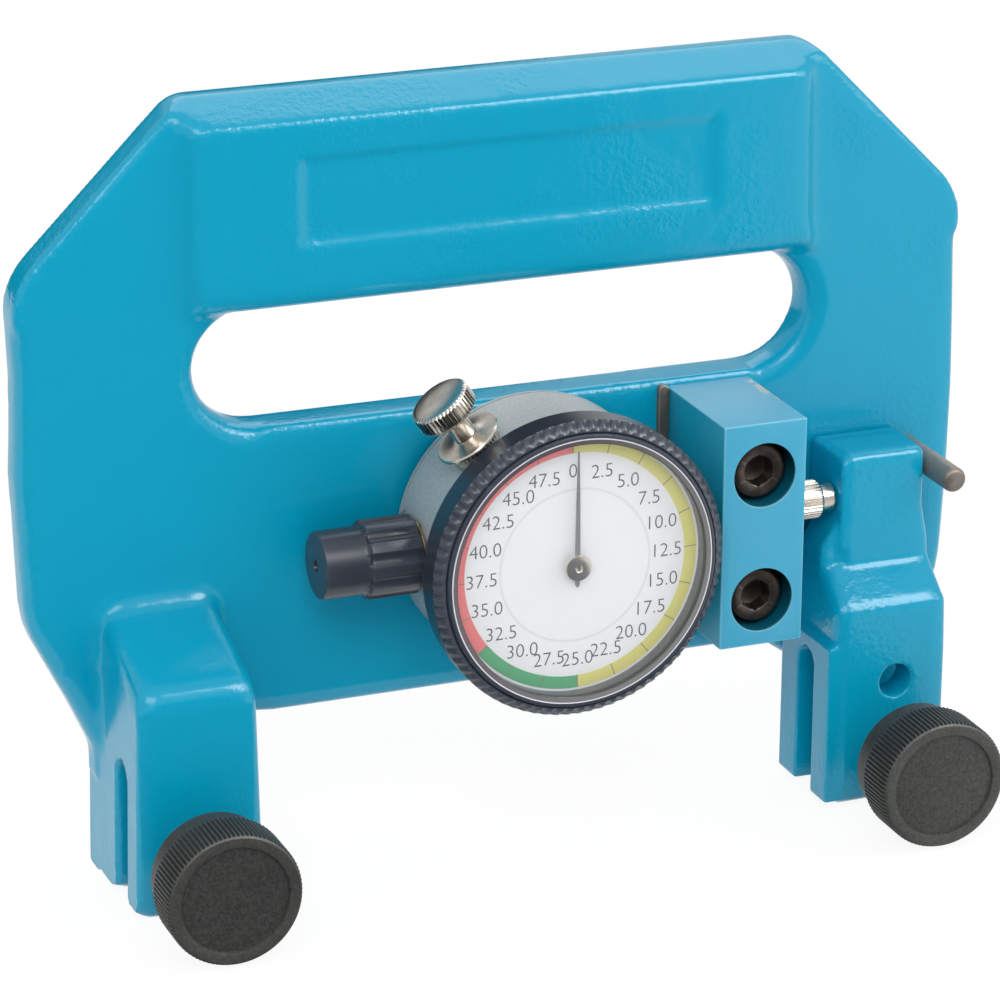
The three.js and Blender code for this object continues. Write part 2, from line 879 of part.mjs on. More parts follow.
function knob(x) {
  const rimBack = knobBack + knobHubLength;
  const root = knobRadius - knobKnurlDepth - seat;
  const body = [
    [0, knobBack],
    [knobHubRadius - knobEdge, knobBack],
    [knobHubRadius, knobBack + knobEdge],
    [knobHubRadius, rimBack],
    [root, rimBack + knobEdge],
    [root, knobFront - knobEdge],
    [root - knobEdge, knobFront],
    [0, knobFront],
  ];
  const bandEnds = [rimBack + knobEdge + seat, knobFront - knobEdge - seat];
  const band = ridgeBand(knobRadius, knobKnurlDepth, knobRidges, ...bandEnds);
  const recess = barInDepth(
    knobRecessRadius,
    knobFront - knobRecessDepth,
    knobFront + overrun,
    0,
    0,
    middleSides,
  );
  const whole = cut(
    join(toDepth(turned(body, roundSides), 0, 0), toDepth(band, 0, 0)),
    recess,
    barInDepth(studRadius + fit, knobBack - overrun, knobFront - knobWebThickness, 0, 0),
  );
  return whole.translate([x, 0, clampHeight]);
}

// Indicator case: an open cup from behind, with a web in front that carries the arbors
function indicatorCase() {
  const inner = caseRadius - caseWall;
  const hole = arborRadius + fit;
  const edge = fit;
  const profile = [
    [hole, webDepth],
    [inner, webDepth],
    [inner, caseBack],
    [caseRadius - edge, caseBack],
    [caseRadius, caseBack + edge],
    [caseRadius, caseFront],
    [inner, caseFront],
    [inner, webDepth + webThickness],
    [hole, webDepth + webThickness],
    [hole, webDepth],
  ];
  const boss = turned(
    [
      [0, inner - clampBossLength],
      [clampBossRadius, inner - clampBossLength],
      [clampBossRadius, caseRadius - caseWall / 2],
      [0, caseRadius - caseWall / 2],
    ],
    smallSides,
  );
  const clampBore = turned(
    [
      [0, inner - clampBossLength - overrun],
      [clampThreadRadius + fit, inner - clampBossLength - overrun],
      [clampThreadRadius + fit, caseRadius + overrun],
      [0, caseRadius + overrun],
    ],
    smallSides,
  );
  return cut(
    join(toDepth(turned(profile, roundSides), dialX, stemHeight), toClamp(boss)),
    toClamp(clampBore),
    barInX(stemRadius + fit, dialX, dialX + caseRadius + overrun, stemDepth, stemHeight, middleSides),
    capSpotFace(),
    barInX(collarNeckRadius + fit, spotX - overrun, dialX, stemDepth, stemHeight),
    ...arbors.slice(0, 2).map(([x, height]) => arborHole(x, height)),
    ...screwRing((x, height) =>
      barInDepth(coverScrewRadius + fit, 0, caseBack + coverScrewLength, x, height, smallestSides),
    ),
  );
}

const arborHole = (x, height) =>
  barInDepth(arborRadius + arborFit, webDepth - overrun, webDepth + webThickness + overrun, x, height);

// A flat on the side of the case, on which the collar of the cap sits
const capSpotFace = () =>
  barInX(capSpotRadius, dialX - caseRadius - overrun, spotX, stemDepth, stemHeight, middleSides);

// The four screws of the cover stand on one circle
function screwRing(make) {
  const radius = caseRadius - coverScrewInset;
  return Array.from({ length: coverScrews }, (_, i) => {
    const angle = THREE.MathUtils.degToRad(coverScrewTurn) + (i / coverScrews) * 2 * Math.PI;
    return make(dialX + radius * Math.sin(angle), stemHeight + radius * Math.cos(angle));
  });
}

function caseCover() {
  const profile = [
    [0, coverBack],
    [caseRadius - coverRim, coverBack],
    [caseRadius, coverBack + coverRim],
    [caseRadius, coverBack + coverThickness],
    [0, coverBack + coverThickness],
  ];
  return cut(
    toDepth(turned(profile, roundSides), dialX, stemHeight),
    capSpotFace(),
    ...screwRing((x, height) =>
      barInDepth(coverScrewRadius + fit, coverBack - overrun, caseBack, x, height, smallestSides),
    ),
  );
}

function coverScrew(x, height) {
  const headFront = coverBack - seat;
  const profile = [
    [0, headFront - coverScrewHead],
    [coverScrewHeadRadius - fit, headFront - coverScrewHead],
    [coverScrewHeadRadius, headFront],
    [coverScrewRadius, headFront],
    [coverScrewRadius, caseBack + coverScrewLength - fit],
    [0, caseBack + coverScrewLength - fit],
  ];
  return toDepth(turned(profile, smallestSides), x, height);
}

function indicatorStem() {
  const from = dialX + caseRadius - caseWall - stemInside;
  const to = blockRight - stemShort;
  return cut(
    barInX(stemRadius, from, to, stemDepth, stemHeight, middleSides),
    barInX(plungerRadius + fit, from - overrun, to + overrun, stemDepth, stemHeight),
  );
}

// A brass bush screwed into the case, seen as a thin line at the root of the cap
function capCollar() {
  const neck = barInX(collarNeckRadius, collarLeft, spotX + collarNeckLength, stemDepth, stemHeight);
  const disc = barInX(collarRadius, collarLeft, spotX - seat, stemDepth, stemHeight, middleSides);
  const bore = barInX(plungerRadius + fit, collarLeft - overrun, dialX, stemDepth, stemHeight);
  return cut(join(disc, neck), bore);
}

// The cap over the inner end of the plunger: a fluted grip at its root and a plain nose
function spindleCap() {
  const grip = new THREE.Shape(flutes());
  const body = prism(grip, capFluteLength, 0);
  body.translate(0, 0, capRight - capFluteLength);
  const nose = [
    [0, capLeft],
    [capNoseRadius - capNoseEdge, capLeft],
    [capNoseRadius, capLeft + capNoseEdge],
    [capNoseRadius, capRight - capFluteLength / 2],
    [0, capRight - capFluteLength / 2],
  ];
  const dimple = [
    [0, capLeft - seat],
    [capDimpleRadius, capLeft - seat],
    [0, capLeft + capDimpleRadius],
  ];
  const bore = barInX(capBoreRadius, capLeft + capEndWall, capRight + overrun, stemDepth, stemHeight);
  return cut(
    join(toX(body, stemDepth, stemHeight), toX(turned(nose, middleSides), stemDepth, stemHeight)),
    toX(turned(dimple, smallestSides), stemDepth, stemHeight),
    bore,
  );
}

// Flutes are hollows between broad lands
function flutes() {
  const steps = capFlutes * fluteSteps;
  return Array.from({ length: steps }, (_, i) => {
    const angle = (i / steps) * 2 * Math.PI;
    const hollow = Math.max(0, Math.cos(capFlutes * angle));
    const radius = capRadius - capFluteDepth * hollow;
    return new THREE.Vector2(radius * Math.cos(angle), radius * Math.sin(angle));
  });
}

// The plunger: a rod with a disc for its spring at the left and rack teeth over its middle
function plunger() {
  const right = contactX - seat;
  const rod = barInX(plungerRadius, plungerDiscX, right, stemDepth, stemHeight);
  const disc = barInX(
    plungerDiscRadius,
    plungerDiscX,
    plungerDiscX + plungerDiscThickness,
    stemDepth,
    stemHeight,
  );
  const stub = barInX(
    contactStubRadius + fit,
    right - contactStubLength - fit,
    right + overrun,
    stemDepth,
    stemHeight,
  );
  return cut(join(rod, disc), stub, ...rackCuts());
}

// A flat on top of the rod, and grooves across it at the pitch of the rack pinion
function rackCuts() {
  const pitch = Math.PI * rackModule;
  const [[rackX]] = arbors;
  const reach = ((rackTeeth + 1) * pitch) / 2;
  const top = stemHeight + rackFlat;
  const flat = outline([
    [rackX - reach, top],
    [rackX + reach, top],
    [rackX + reach, top + overrun],
    [rackX - reach, top + overrun],
  ]);
  const across = (shape) => throughDepth(shape, stemDepth - overrun, stemDepth + overrun);
  const grooves = Array.from({ length: rackTeeth }, (_, i) => {
    const x = rackX + (i - (rackTeeth - 1) / 2) * pitch;
    return across(
      outline([
        [x - pitch / 2, top + rackModule],
        [x, top - 2 * rackModule],
        [x + pitch / 2, top + rackModule],
      ]),
    );
  });
  return [across(flat), ...grooves];
}

function contactPoint() {
  const knurlRight = contactX + contactKnurlLength;
  const tipRight = armHeadLeft - fit;
  const inX = (profile) => toX(turned(profile, smallSides), stemDepth, stemHeight);
  const root = contactKnurlRadius - contactKnurlDepth - seat;
  const bandEnds = [contactX + contactChamfer + seat, knurlRight - contactChamfer - seat];
  const knurl = ridgeBand(contactKnurlRadius, contactKnurlDepth, contactRidges, ...bandEnds);
  const body = [
    [0, contactX],
    [root - contactChamfer, contactX],
    [root, contactX + contactChamfer],
    [root, knurlRight - contactChamfer],
    [root - contactChamfer, knurlRight],
    [0, knurlRight],
  ];
  const tip = [
    [0, knurlRight - contactTipRadius],
    [contactTipRadius, knurlRight - contactTipRadius],
    [contactTipRadius, tipRight - seat],
    [contactTipRadius - seat, tipRight],
    [0, tipRight],
  ];
  const stub = [
    [0, contactX - contactStubLength],
    [contactStubRadius, contactX - contactStubLength],
    [contactStubRadius, contactX + contactChamfer],
    [0, contactX + contactChamfer],
  ];
  return join(inX(body), toX(knurl, stemDepth, stemHeight), inX(tip), inX(stub));
}

// A coil inside the cap, between its end wall and the plunger's disc
class Helix extends THREE.Curve {
  constructor(radius, length, turns) {
    super();
    Object.assign(this, { radius, length, turns });
  }

  getPoint(share, target = new THREE.Vector3()) {
    const angle = share * this.turns * 2 * Math.PI;
    return target.set(this.radius * Math.cos(angle), this.radius * Math.sin(angle), share * this.length);
  }
}

function returnSpring() {
  const left = capLeft + capEndWall + springWire;
  const right = plungerDiscX - springGap - springWire;
  const radius = capBoreRadius - fit - springWire;
  const wire = Array.from({ length: springSides }, (_, i) => {
    const angle = (i / springSides) * 2 * Math.PI;
    return new THREE.Vector2((springWire / 2) * Math.cos(angle), (springWire / 2) * Math.sin(angle));
  });
  const coil = new THREE.ExtrudeGeometry(new THREE.Shape(wire), {
    extrudePath: new Helix(radius, right - left, springTurns),
    steps: springTurns * springSteps,
  });
  coil.translate(0, 0, left);
  return toX(coil, stemDepth, stemHeight);
}

// Gear train: pitch radius is half the module for each tooth, and a module more at the tips
const tipRadius = (module, teeth) => (module * teeth) / 2 + module;

const meshDistance = (module, teeth, others) =>
  tipRadius(module, teeth) + tipRadius(module, others) + meshGap;

// First, second and centre arbors, as [x, height]
const arbors = (() => {
  const first = [
    dialX + firstOffset,
    stemHeight + rackFlat + tipRadius(rackModule, rackPinionTeeth) + meshGap,
  ];
  const centre = [dialX, stemHeight];
  const toFirst = meshDistance(wheelModule, firstTeeth, pinionTeeth);
  const toCentre = meshDistance(wheelModule, secondTeeth, pinionTeeth);
  const across = [centre[0] - first[0], centre[1] - first[1]];
  const apart = Math.hypot(...across);
  const along = (toFirst ** 2 - toCentre ** 2 + apart ** 2) / (2 * apart);
  const aside = Math.sqrt(Math.max(0, toFirst ** 2 - along ** 2));
  const [u, v] = across.map((step) => step / apart);
  const second = [first[0] + u * along + v * aside, first[1] + v * along - u * aside];
  return [first, second, centre];
})();

function gear(module, teeth, from, to, [x, height]) {
  const tip = tipRadius(module, teeth);
  return throughDepth(toothed(tip, tip - 2 * module, teeth, 0), from, to).translate([x, 0, height]);
}

const arbor = (from, to, [x, height]) => barInDepth(arborRadius, from, to, x, height);

function firstArbor() {
  const [place] = arbors;
  const rackBack = stemDepth - plungerRadius + seat;
  const rackFront = stemDepth + plungerRadius - seat;
  return join(
    arbor(rackBack, arborFront, place),
    gear(rackModule, rackPinionTeeth, rackBack, rackFront, place),
    gear(wheelModule, firstTeeth, firstLayer, firstLayer + gearThickness, place),
  );
}

function secondArbor() {
  const [, place] = arbors;
  return join(
    arbor(arborBack, arborFront, place),
    gear(wheelModule, pinionTeeth, firstLayer, firstLayer + gearThickness, place),
    gear(wheelModule, secondTeeth, secondLayer, secondLayer + gearThickness, place),
  );
}

function centreArbor() {
  const [, , place] = arbors;
  return join(
    arbor(arborBack, hubBack - seat, place),
    gear(wheelModule, pinionTeeth, secondLayer, secondLayer + gearThickness, place),
  );
}

// The rear plate of the movement stands on pillars on the case's web
function movementPlate() {
  const disc = barInDepth(
    movementRadius,
    movementDepth,
    movementDepth + movementThickness,
    dialX,
    stemHeight,
    roundSides,
  );
  const pillarCircle = movementRadius - pillarRadius;
  const pillars = pillarAnglesShare.map((share) => {
    const angle = share * 2 * Math.PI;
    return barInDepth(
      pillarRadius,
      movementDepth,
      webDepth - seat,
      dialX + pillarCircle * Math.sin(angle),
      stemHeight + pillarCircle * Math.cos(angle),
      smallestSides,
    );
  });
  const holes = arbors.map(([x, height]) =>
    barInDepth(arborRadius + arborFit, movementDepth - overrun, firstLayer, x, height),
  );
  return cut(join(disc, ...pillars), ...holes);
}

function needle() {
  const half = needleRootWidth / 2;
  const blade = outline([
    [dialX - half, stemHeight],
    [dialX, stemHeight - needleTail],
    [dialX + half, stemHeight],
    [dialX + needleTipWidth / 2, stemHeight + needleLength],
    [dialX - needleTipWidth / 2, stemHeight + needleLength],
  ]);
  const back = dialDepth + needleLift;
  const foot = barInDepth(hubBaseRadius, hubBack, back + needleThickness, dialX, stemHeight);
  return join(throughDepth(blade, back, back + needleThickness), foot);
}

function needleHub() {
  const back = dialDepth + needleLift + needleThickness + seat;
  const profile = [
    [0, back],
    [hubRadius, back],
    [hubRadius, hubFront - hubEdge],
    [hubRadius - hubEdge, hubFront],
    [0, hubFront],
  ];
  return toDepth(turned(profile, smallSides), dialX, stemHeight);
}

const dialDisc = (profile) => toDepth(turned(profile, roundSides), dialX, stemHeight);

function dialFace() {
  return dialDisc([
    [dialHoleRadius, dialDepth - dialThickness],
    [dialRadius, dialDepth - dialThickness],
    [dialRadius, dialDepth],
    [dialHoleRadius, dialDepth],
    [dialHoleRadius, dialDepth - dialThickness],
  ]);
}

function lens() {
  return dialDisc([
    [0, lensBack],
    [lensRadius, lensBack],
    [lensRadius, lensBack + lensThickness],
    [0, lensBack + lensThickness],
  ]);
}

// Bezel: a smooth ring behind, a band of coarse ridges, and a front ring that slopes in to the lens
function bezel() {
  const groove = lensRadius + fit;
  const bore = caseRadius + fit;
  const knurlBack = bezelBack + bezelSmoothLength;
  const knurlFront = knurlBack + knurlLength;
  const root = bezelRadius + knurlProud - knurlDepth;
  const ring = dialDisc([
    [bore, bezelBack],
    [bezelRadius - bezelRearEdge, bezelBack],
    [bezelRadius, bezelBack + bezelRearEdge],
    [bezelRadius, knurlBack],
    [root - seat, knurlBack],
    [root - seat, knurlFront],
    [bezelFrontRootRadius, knurlFront],
    [bezelFrontTopRadius, bezelFront - bezelFrontEdge],
    [bezelFrontTopRadius - bezelFrontEdge, bezelFront],
    [bezelLipRadius, bezelFront],
    [bezelLipRadius, bezelFront - bezelLipThickness],
    [groove, bezelFront - bezelLipThickness],
    [groove, lensBack - seat],
    [reflectorRadius, lensBack - seat],
    [reflectorRadius, dialDepth + seat],
    [groove, dialDepth + seat],
    [groove, dialDepth - dialThickness - seat],
    [bore, dialDepth - dialThickness - seat],
    [bore, bezelBack],
  ]);
  const hole = (root + bore) / 2;
  const band = ridgeBand(root + knurlDepth, knurlDepth, knurlRidges, knurlBack - seat, knurlFront, hole);
  return join(ring, toDepth(band, dialX, stemHeight));
}

// The washer's flange reaches over the rear of the bezel, and its ridged foot stands on the case
const washerBase = caseRadius + seat;
const washerRim = washerBase + washerFootHeight + washerRimHeight;
const washerTop = washerRim + washerDish / 2;

function clampWasher() {
  const flange = [
    [clampThreadRadius + fit, washerBase],
    [washerFootRadius - washerKnurlDepth - seat, washerBase],
    [washerFootRadius - washerKnurlDepth - seat, washerBase + washerFootHeight],
    [washerFlangeRadius, washerBase + washerFootHeight],
    [washerFlangeRadius, washerRim],
    [thumbNeckRadius + fit, washerTop],
    [clampThreadRadius + fit, washerTop],
    [clampThreadRadius + fit, washerBase],
  ];
  const top = washerBase + washerFootHeight + seat;
  const hole = (washerFootRadius + clampThreadRadius) / 2;
  const ridges = ridgeBand(washerFootRadius, washerKnurlDepth, washerRidges, washerBase + seat, top, hole);
  return join(toClamp(turned(flange, middleSides)), toClamp(ridges));
}

function clampScrew() {
  const neckBottom = washerTop + seat;
  const headBottom = neckBottom + thumbNeckLength;
  const headTop = headBottom + thumbHeight;
  const shank = [
    [0, caseRadius - caseWall - clampBossLength + fit],
    [clampThreadRadius, caseRadius - caseWall - clampBossLength + fit],
    [clampThreadRadius, neckBottom],
    [thumbNeckRadius, neckBottom],
    [thumbNeckRadius, headBottom + thumbEdge / 2],
    [0, headBottom + thumbEdge / 2],
  ];
  const root = thumbRadius - thumbKnurlDepth - seat;
  const head = [
    [0, headBottom],
    [root - thumbEdge, headBottom],
    [root, headBottom + thumbEdge],
    [root, headTop - thumbEdge],
    [root - thumbEdge, headTop],
    [0, headTop],
  ];
  const bandEnds = [headBottom + thumbEdge + seat, headTop - thumbEdge - seat];
  const ridges = ridgeBand(thumbRadius, thumbKnurlDepth, thumbRidges, ...bandEnds);
  return join(
    toClamp(turned(shank, smallSides)),
    toClamp(turned(head, middleSides)),
    toClamp(ridges),
  );
}

// The whole meter, moved so that the stem is at height zero
const meter = new THREE.Group();
meter.position.z = -stemHeight;
const add = (name, solid, look) => meter.add(meshOf(name, solid, look));

const { castPaint, blockPaint, darkSteel, blackOxide, knobBlack, nickel, brightSteel } = finishes;
const { brass, caseGrey, navyPlastic, dialWhite, needleGrey, clearLens } = finishes;

add("frame_casting", frameCasting(), castPaint);
add("clamp_block", clampBlock(), blockPaint);
add("locating_key", locatingKey(), darkSteel);
["lower", "upper"].forEach((name, i) => {
  add(`clamp_block_screw_${name}`, blockScrew(blockScrewHeights[i]), blackOxide);
});
add("stop_pin", stopPin(), darkSteel);
add("pivot_bush", pivotBush(), brass);

add("rocker_arm", rockerArm(), castPaint);
add("pivot_pin", pivotPin(), brightSteel);
add("pivot_retaining_ring", pivotRing(), brightSteel);

add("left_stud", stud(-clampX), blackOxide);
add("left_knob", knob(-clampX), knobBlack);
add("right_stud", stud(clampX), blackOxide);
add("right_knob", knob(clampX), knobBlack);

add("indicator_case", indicatorCase(), caseGrey);
add("case_back_cover", caseCover(), caseGrey);
screwRing(coverScrew).forEach((solid, i) => add(`back_cover_screw_${i + 1}`, solid, brightSteel));
add("indicator_stem", indicatorStem(), brightSteel);
add("spindle_cap_collar", capCollar(), brass);
add("spindle_cap", spindleCap(), navyPlastic);
add("return_spring", returnSpring(), brightSteel);
add("plunger", plunger(), brightSteel);
add("contact_point", contactPoint(), nickel);

add("movement_plate", movementPlate(), brass);
add("rack_arbor_gear", firstArbor(), brass);
add("second_arbor_gear", secondArbor(), brass);
add("centre_arbor", centreArbor(), brass);
add("needle", needle(), needleGrey);
add("needle_hub_cap", needleHub(), nickel);

add("dial_face", dialFace(), dialWhite);
add("lens", lens(), clearLens);
add("bezel", bezel(), navyPlastic);
add("bezel_clamp_washer", clampWasher(), nickel);
add("bezel_clamp_screw", clampScrew(), nickel);

export default meter;
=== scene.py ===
# %% [markdown]
# Band saw tension meter
# A cast frame clamps on a saw blade with two knurled screws. When the blade stretches, an arm rocks
# and pushes the plunger of a dial indicator. The imported model gives every piece its size and place.
# This lesson gives each piece the surface that the real one has: sand-cast paint, machined and
# oiled steel, nickel, moulded plastic and a printed dial.

# %% The imported parts, and the box of one part
import math
import bmesh
import bpy
from mathutils import Matrix, Vector


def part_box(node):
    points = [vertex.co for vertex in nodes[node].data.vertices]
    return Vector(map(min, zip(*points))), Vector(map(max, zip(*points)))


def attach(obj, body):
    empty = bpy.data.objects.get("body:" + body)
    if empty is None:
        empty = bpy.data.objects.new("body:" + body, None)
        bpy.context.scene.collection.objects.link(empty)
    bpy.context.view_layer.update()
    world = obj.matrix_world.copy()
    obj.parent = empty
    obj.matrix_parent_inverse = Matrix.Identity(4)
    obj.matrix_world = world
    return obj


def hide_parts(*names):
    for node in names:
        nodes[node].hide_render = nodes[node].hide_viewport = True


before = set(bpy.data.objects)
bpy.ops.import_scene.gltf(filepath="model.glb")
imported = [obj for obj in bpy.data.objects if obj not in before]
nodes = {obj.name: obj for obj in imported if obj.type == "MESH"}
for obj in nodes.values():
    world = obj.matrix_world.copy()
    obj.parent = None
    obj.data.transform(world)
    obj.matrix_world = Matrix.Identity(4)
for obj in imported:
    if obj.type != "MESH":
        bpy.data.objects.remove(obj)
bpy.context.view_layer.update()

MM = 0.001

# %% [markdown]
# The camera stands to the left of the meter and above it, far off, with a long lens. Its place and
# direction were solved from edges whose real sizes are known, so they are written as three
# directions of a rigid frame: right, up, and back along the view.

# %% Camera
CAMERA_PLACE = Vector((-288.75, -720.69, 284.67)) * MM
CAMERA_RIGHT = Vector((0.928295, -0.371805, 0.005459))
CAMERA_UP = Vector((0.122893, 0.320619, 0.939202))
FOCAL_PIXELS = 4415.5
IMAGE_PIXELS = 1000
SENSOR_MM = 36.0


def put(name, data):
    """Adds an object to the scene."""
    thing = bpy.data.objects.new(name, data)
    bpy.context.scene.collection.objects.link(thing)
    return thing


def make_camera():
    data = bpy.data.cameras.new("camera")
    data.sensor_width = SENSOR_MM
    data.lens = FOCAL_PIXELS / IMAGE_PIXELS * SENSOR_MM
    data.clip_start, data.clip_end = 50 * MM, 20.0
    camera = put("camera", data)
    back = CAMERA_RIGHT.cross(CAMERA_UP)
    turn = Matrix((CAMERA_RIGHT, CAMERA_UP, back)).transposed().to_4x4()
    camera.matrix_world = Matrix.Translation(CAMERA_PLACE) @ turn
    bpy.context.scene.camera = camera
    return camera


camera = make_camera()
print("lens:", round(camera.data.lens, 1), "mm")

# %% [markdown]
# Finishes are node trees. A small class wraps a socket, so that an expression such as
# `1 - mask * 0.5` writes its own Math nodes, and one method adds any other node.

# %% A finish and its values


class Value:
    """A number that changes over a surface, or a fixed one."""

    def __init__(self, finish, socket):
        self.finish = finish
        self.socket = socket

    def apply(self, operation, *others, clamp=False):
        """A Math node with this value in its first socket."""
        sockets = dict(enumerate((self, *others)))
        return self.finish.add("Math", sockets, operation=operation, use_clamp=clamp)

    def __add__(self, other):
        return self.apply("ADD", other)

    def __sub__(self, other):
        return self.apply("SUBTRACT", other)

    def __rsub__(self, other):
        return self.apply("MULTIPLY_ADD", -1.0, other)

    def __mul__(self, other):
        return self.apply("MULTIPLY", other)

    def __truediv__(self, other):
        return self.apply("DIVIDE", other)

    def __pow__(self, other):
        return self.apply("POWER", other)

    def __neg__(self):
        return self.apply("MULTIPLY", -1.0)

    __radd__ = __add__

    def size(self):
        """The number without its sign."""
        return self.apply("ABSOLUTE")

    def over(self, limit, softness):
        """0 below the limit and 1 above it, with a straight step of that width between."""
        return (self - (limit - softness / 2)).apply("DIVIDE", softness, clamp=True)

    def under(self, limit, softness):
        return 1 - self.over(limit, softness)


class Finish:
    """A material that is built up from values and expressions."""

    def __init__(self, name):
        self.material = bpy.data.materials.new(name)
        self.material.use_nodes = True
        self.tree = self.material.node_tree
        self.tree.nodes.clear()
        self.output = self.tree.nodes.new("ShaderNodeOutputMaterial")
        self._place = None

    def feed(self, slot, item):
        """Links a value to a socket, or sets the socket to a plain number or colour."""
        if isinstance(item, Value):
            self.tree.links.new(item.socket, slot)
        elif slot.type == "RGBA" and len(item) == 3:
            slot.default_value = (*item, 1.0)
        else:
            slot.default_value = item

    def add(self, kind, sockets=(), out=0, **settings):
        """Adds a node: its settings come first, then what its sockets get, by name or place."""
        node = self.tree.nodes.new("ShaderNode" + kind)
        for key, setting in settings.items():
            setattr(node, key, setting)
        for key, item in dict(sockets).items():
            self.feed(node.inputs[key], item)
        return Value(self, node.outputs[out])

    @property
    def place(self):
        """Where a point of the piece is, in metres."""
        if self._place is None:
            self._place = self.add("TexCoord", out="Object")
        return self._place

    def axis(self, letter):
        """One coordinate of a point, in millimetres."""
        return self.add("SeparateXYZ", {0: self.place}, letter) / MM

    def pointiness(self):
        """Above 0.5 where the surface bulges, and below it in a hollow."""
        return self.add("NewGeometry", out="Pointiness")

    def noise(self, size, detail=3.0, rough=0.55, stretch=(1, 1, 1)):
        """Soft spots about `size` millimetres wide, between 0 and 1."""
        where = self.add("Mapping", {"Vector": self.place, "Scale": stretch}, vector_type="POINT")
        sockets = {"Vector": where, "Scale": 1 / (size * MM), "Detail": detail, "Roughness": rough}
        return self.add("TexNoise", sockets)

    def cells(self, size):
        """The distance to the middle of the nearest cell, in cells."""
        return self.add("TexVoronoi", {"Vector": self.place, "Scale": 1 / (size * MM)})

    def mix(self, factor, first, second):
        """A colour between two colours."""
        return self.add("Mix", {0: factor, 6: first, 7: second}, 2, data_type="RGBA")

    def bump(self, height, strength, depth, normal=None):
        sockets = {"Height": height, "Strength": strength, "Distance": depth * MM}
        if normal is not None:
            sockets["Normal"] = normal
        return self.add("Bump", sockets)

    def surface(self, colour, roughness, metallic=None, normal=None, ior=None, alpha=None):
        sockets = {"Base Color": colour, "Roughness": roughness, "Metallic": metallic, "Normal": normal,
                   "IOR": ior, "Alpha": alpha}
        given = {key: item for key, item in sockets.items() if item is not None}
        return self.close(self.add("BsdfPrincipled", given))

    def close(self, shader):
        """Sends a shader to the output and gives the material."""
        self.tree.links.new(shader.socket, self.output.inputs["Surface"])
        return self.material


print("finishes are ready to be written")

# %% [markdown]
# Most pieces of the meter were turned on a lathe, so most of them start as a half section that is
# spun. The section is written in millimetres as pairs of radius and place along the axis. Every
# mesh is worked on in millimetres and shrunk to metres once, when it becomes a piece.

# %% Turned pieces
FOOT_TO_MIDDLE = 59.5
DIAL_X = 2.2
STEM_DEPTH = 18.7
STEM_HOLE = 5.06
CLAMP_ANGLE = -36.2
CLAMP_DEPTH = 25.2


def turned(section, segments=96):
    """Spins a half section round Z. It starts and ends on the axis, or else it is a closed ring."""
    bm = bmesh.new()
    line = [bm.verts.new((radius, 0, along)) for radius, along in section]
    first = line[:1] if section[0][0] > 0 else []
    edges = [bm.edges.new(pair) for pair in zip(line, line[1:] + first)]
    bmesh.ops.spin(
        bm, geom=line + edges, cent=(0, 0, 0), axis=(0, 0, 1), angle=2 * math.pi,
        steps=segments, use_merge=True,
    )
    bmesh.ops.remove_doubles(bm, verts=bm.verts, dist=1e-4)
    bmesh.ops.recalc_face_normals(bm, faces=bm.faces)
    return bm


def placed(bm, matrix):
    bmesh.ops.transform(bm, matrix=matrix, verts=bm.verts)
    return bm


def in_depth(bm, x=0.0, height=FOOT_TO_MIDDLE):
    """Lays the axis along the depth, so that `along` counts forward from the frame's back."""
    quarter = Matrix.Rotation(math.pi / 2, 4, "X")
    return placed(bm, Matrix.Translation((x, 0, height - FOOT_TO_MIDDLE)) @ quarter)


def across(bm, depth=STEM_DEPTH, height=FOOT_TO_MIDDLE):
    """Lays the axis along X."""
    quarter = Matrix.Rotation(math.pi / 2, 4, "Y")
    return placed(bm, Matrix.Translation((0, -depth, height - FOOT_TO_MIDDLE)) @ quarter)


def on_clamp_axis(bm):
    """Lays the axis along the bezel clamp, which points up and to the left from the dial's middle."""
    turn = Matrix.Rotation(math.radians(CLAMP_ANGLE), 4, "Y")
    return placed(bm, Matrix.Translation((DIAL_X, -CLAMP_DEPTH, 0)) @ turn)


def rod(radius, start, end, segments=64):
    return turned([(0, start), (radius, start), (radius, end), (0, end)], segments)


def pull(vert, share):
    """Moves a point to a share of its distance from Z."""
    vert.co.x *= share
    vert.co.y *= share


def knurled(section, count, depth, low, high, smallest):
    """A turned form with straight ridges: two of every four points round its band are sunk."""
    bm = turned(section, 4 * count)
    for vert in bm.verts:
        radius = math.hypot(vert.co.x, vert.co.y)
        step = round(math.atan2(vert.co.y, vert.co.x) / (2 * math.pi) * 4 * count)
        if radius >= smallest and low <= vert.co.z <= high and step % 4 >= 2:
            pull(vert, (radius - depth) / radius)
    return bm


probe = knurled([(0, 0), (10, 0), (10, 5), (0, 5)], 10, 1, 0, 5, 5)
print("a ridged rod has", len(probe.faces), "faces")
probe.free()

# %% [markdown]
# A mesh becomes a piece of the part here: it gets its name, its finish and the body that carries it,
# and the plain solid that it stands for is hidden.

# %% Pieces
made = []


def mesh_of(bm, name="work"):
    mesh = bpy.data.meshes.new(name)
    bm.to_mesh(mesh)
    bm.free()
    return mesh


def dress(mesh, name, body, material, stands_for="", sharp=35, slot=""):
    """`slot` is not used."""
    mesh.shade_smooth()
    mesh.set_sharp_from_angle(angle=math.radians(sharp))
    mesh.materials.clear()
    mesh.materials.append(material)
    thing = put(name, mesh)
    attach(thing, body)
    if stands_for:
        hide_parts(stands_for)
    made.append(thing)
    return thing


def piece(bm, name, *about, **more):
    bmesh.ops.scale(bm, vec=(MM, MM, MM), verts=bm.verts)
    return dress(mesh_of(bm, name), name, *about, **more)


def joined(bm, *others):
    """Adds other meshes to a mesh, which may overlap it."""
    for other in others:
        mesh = mesh_of(other)
        bm.from_mesh(mesh)
        bpy.data.meshes.remove(mesh)
    return bm


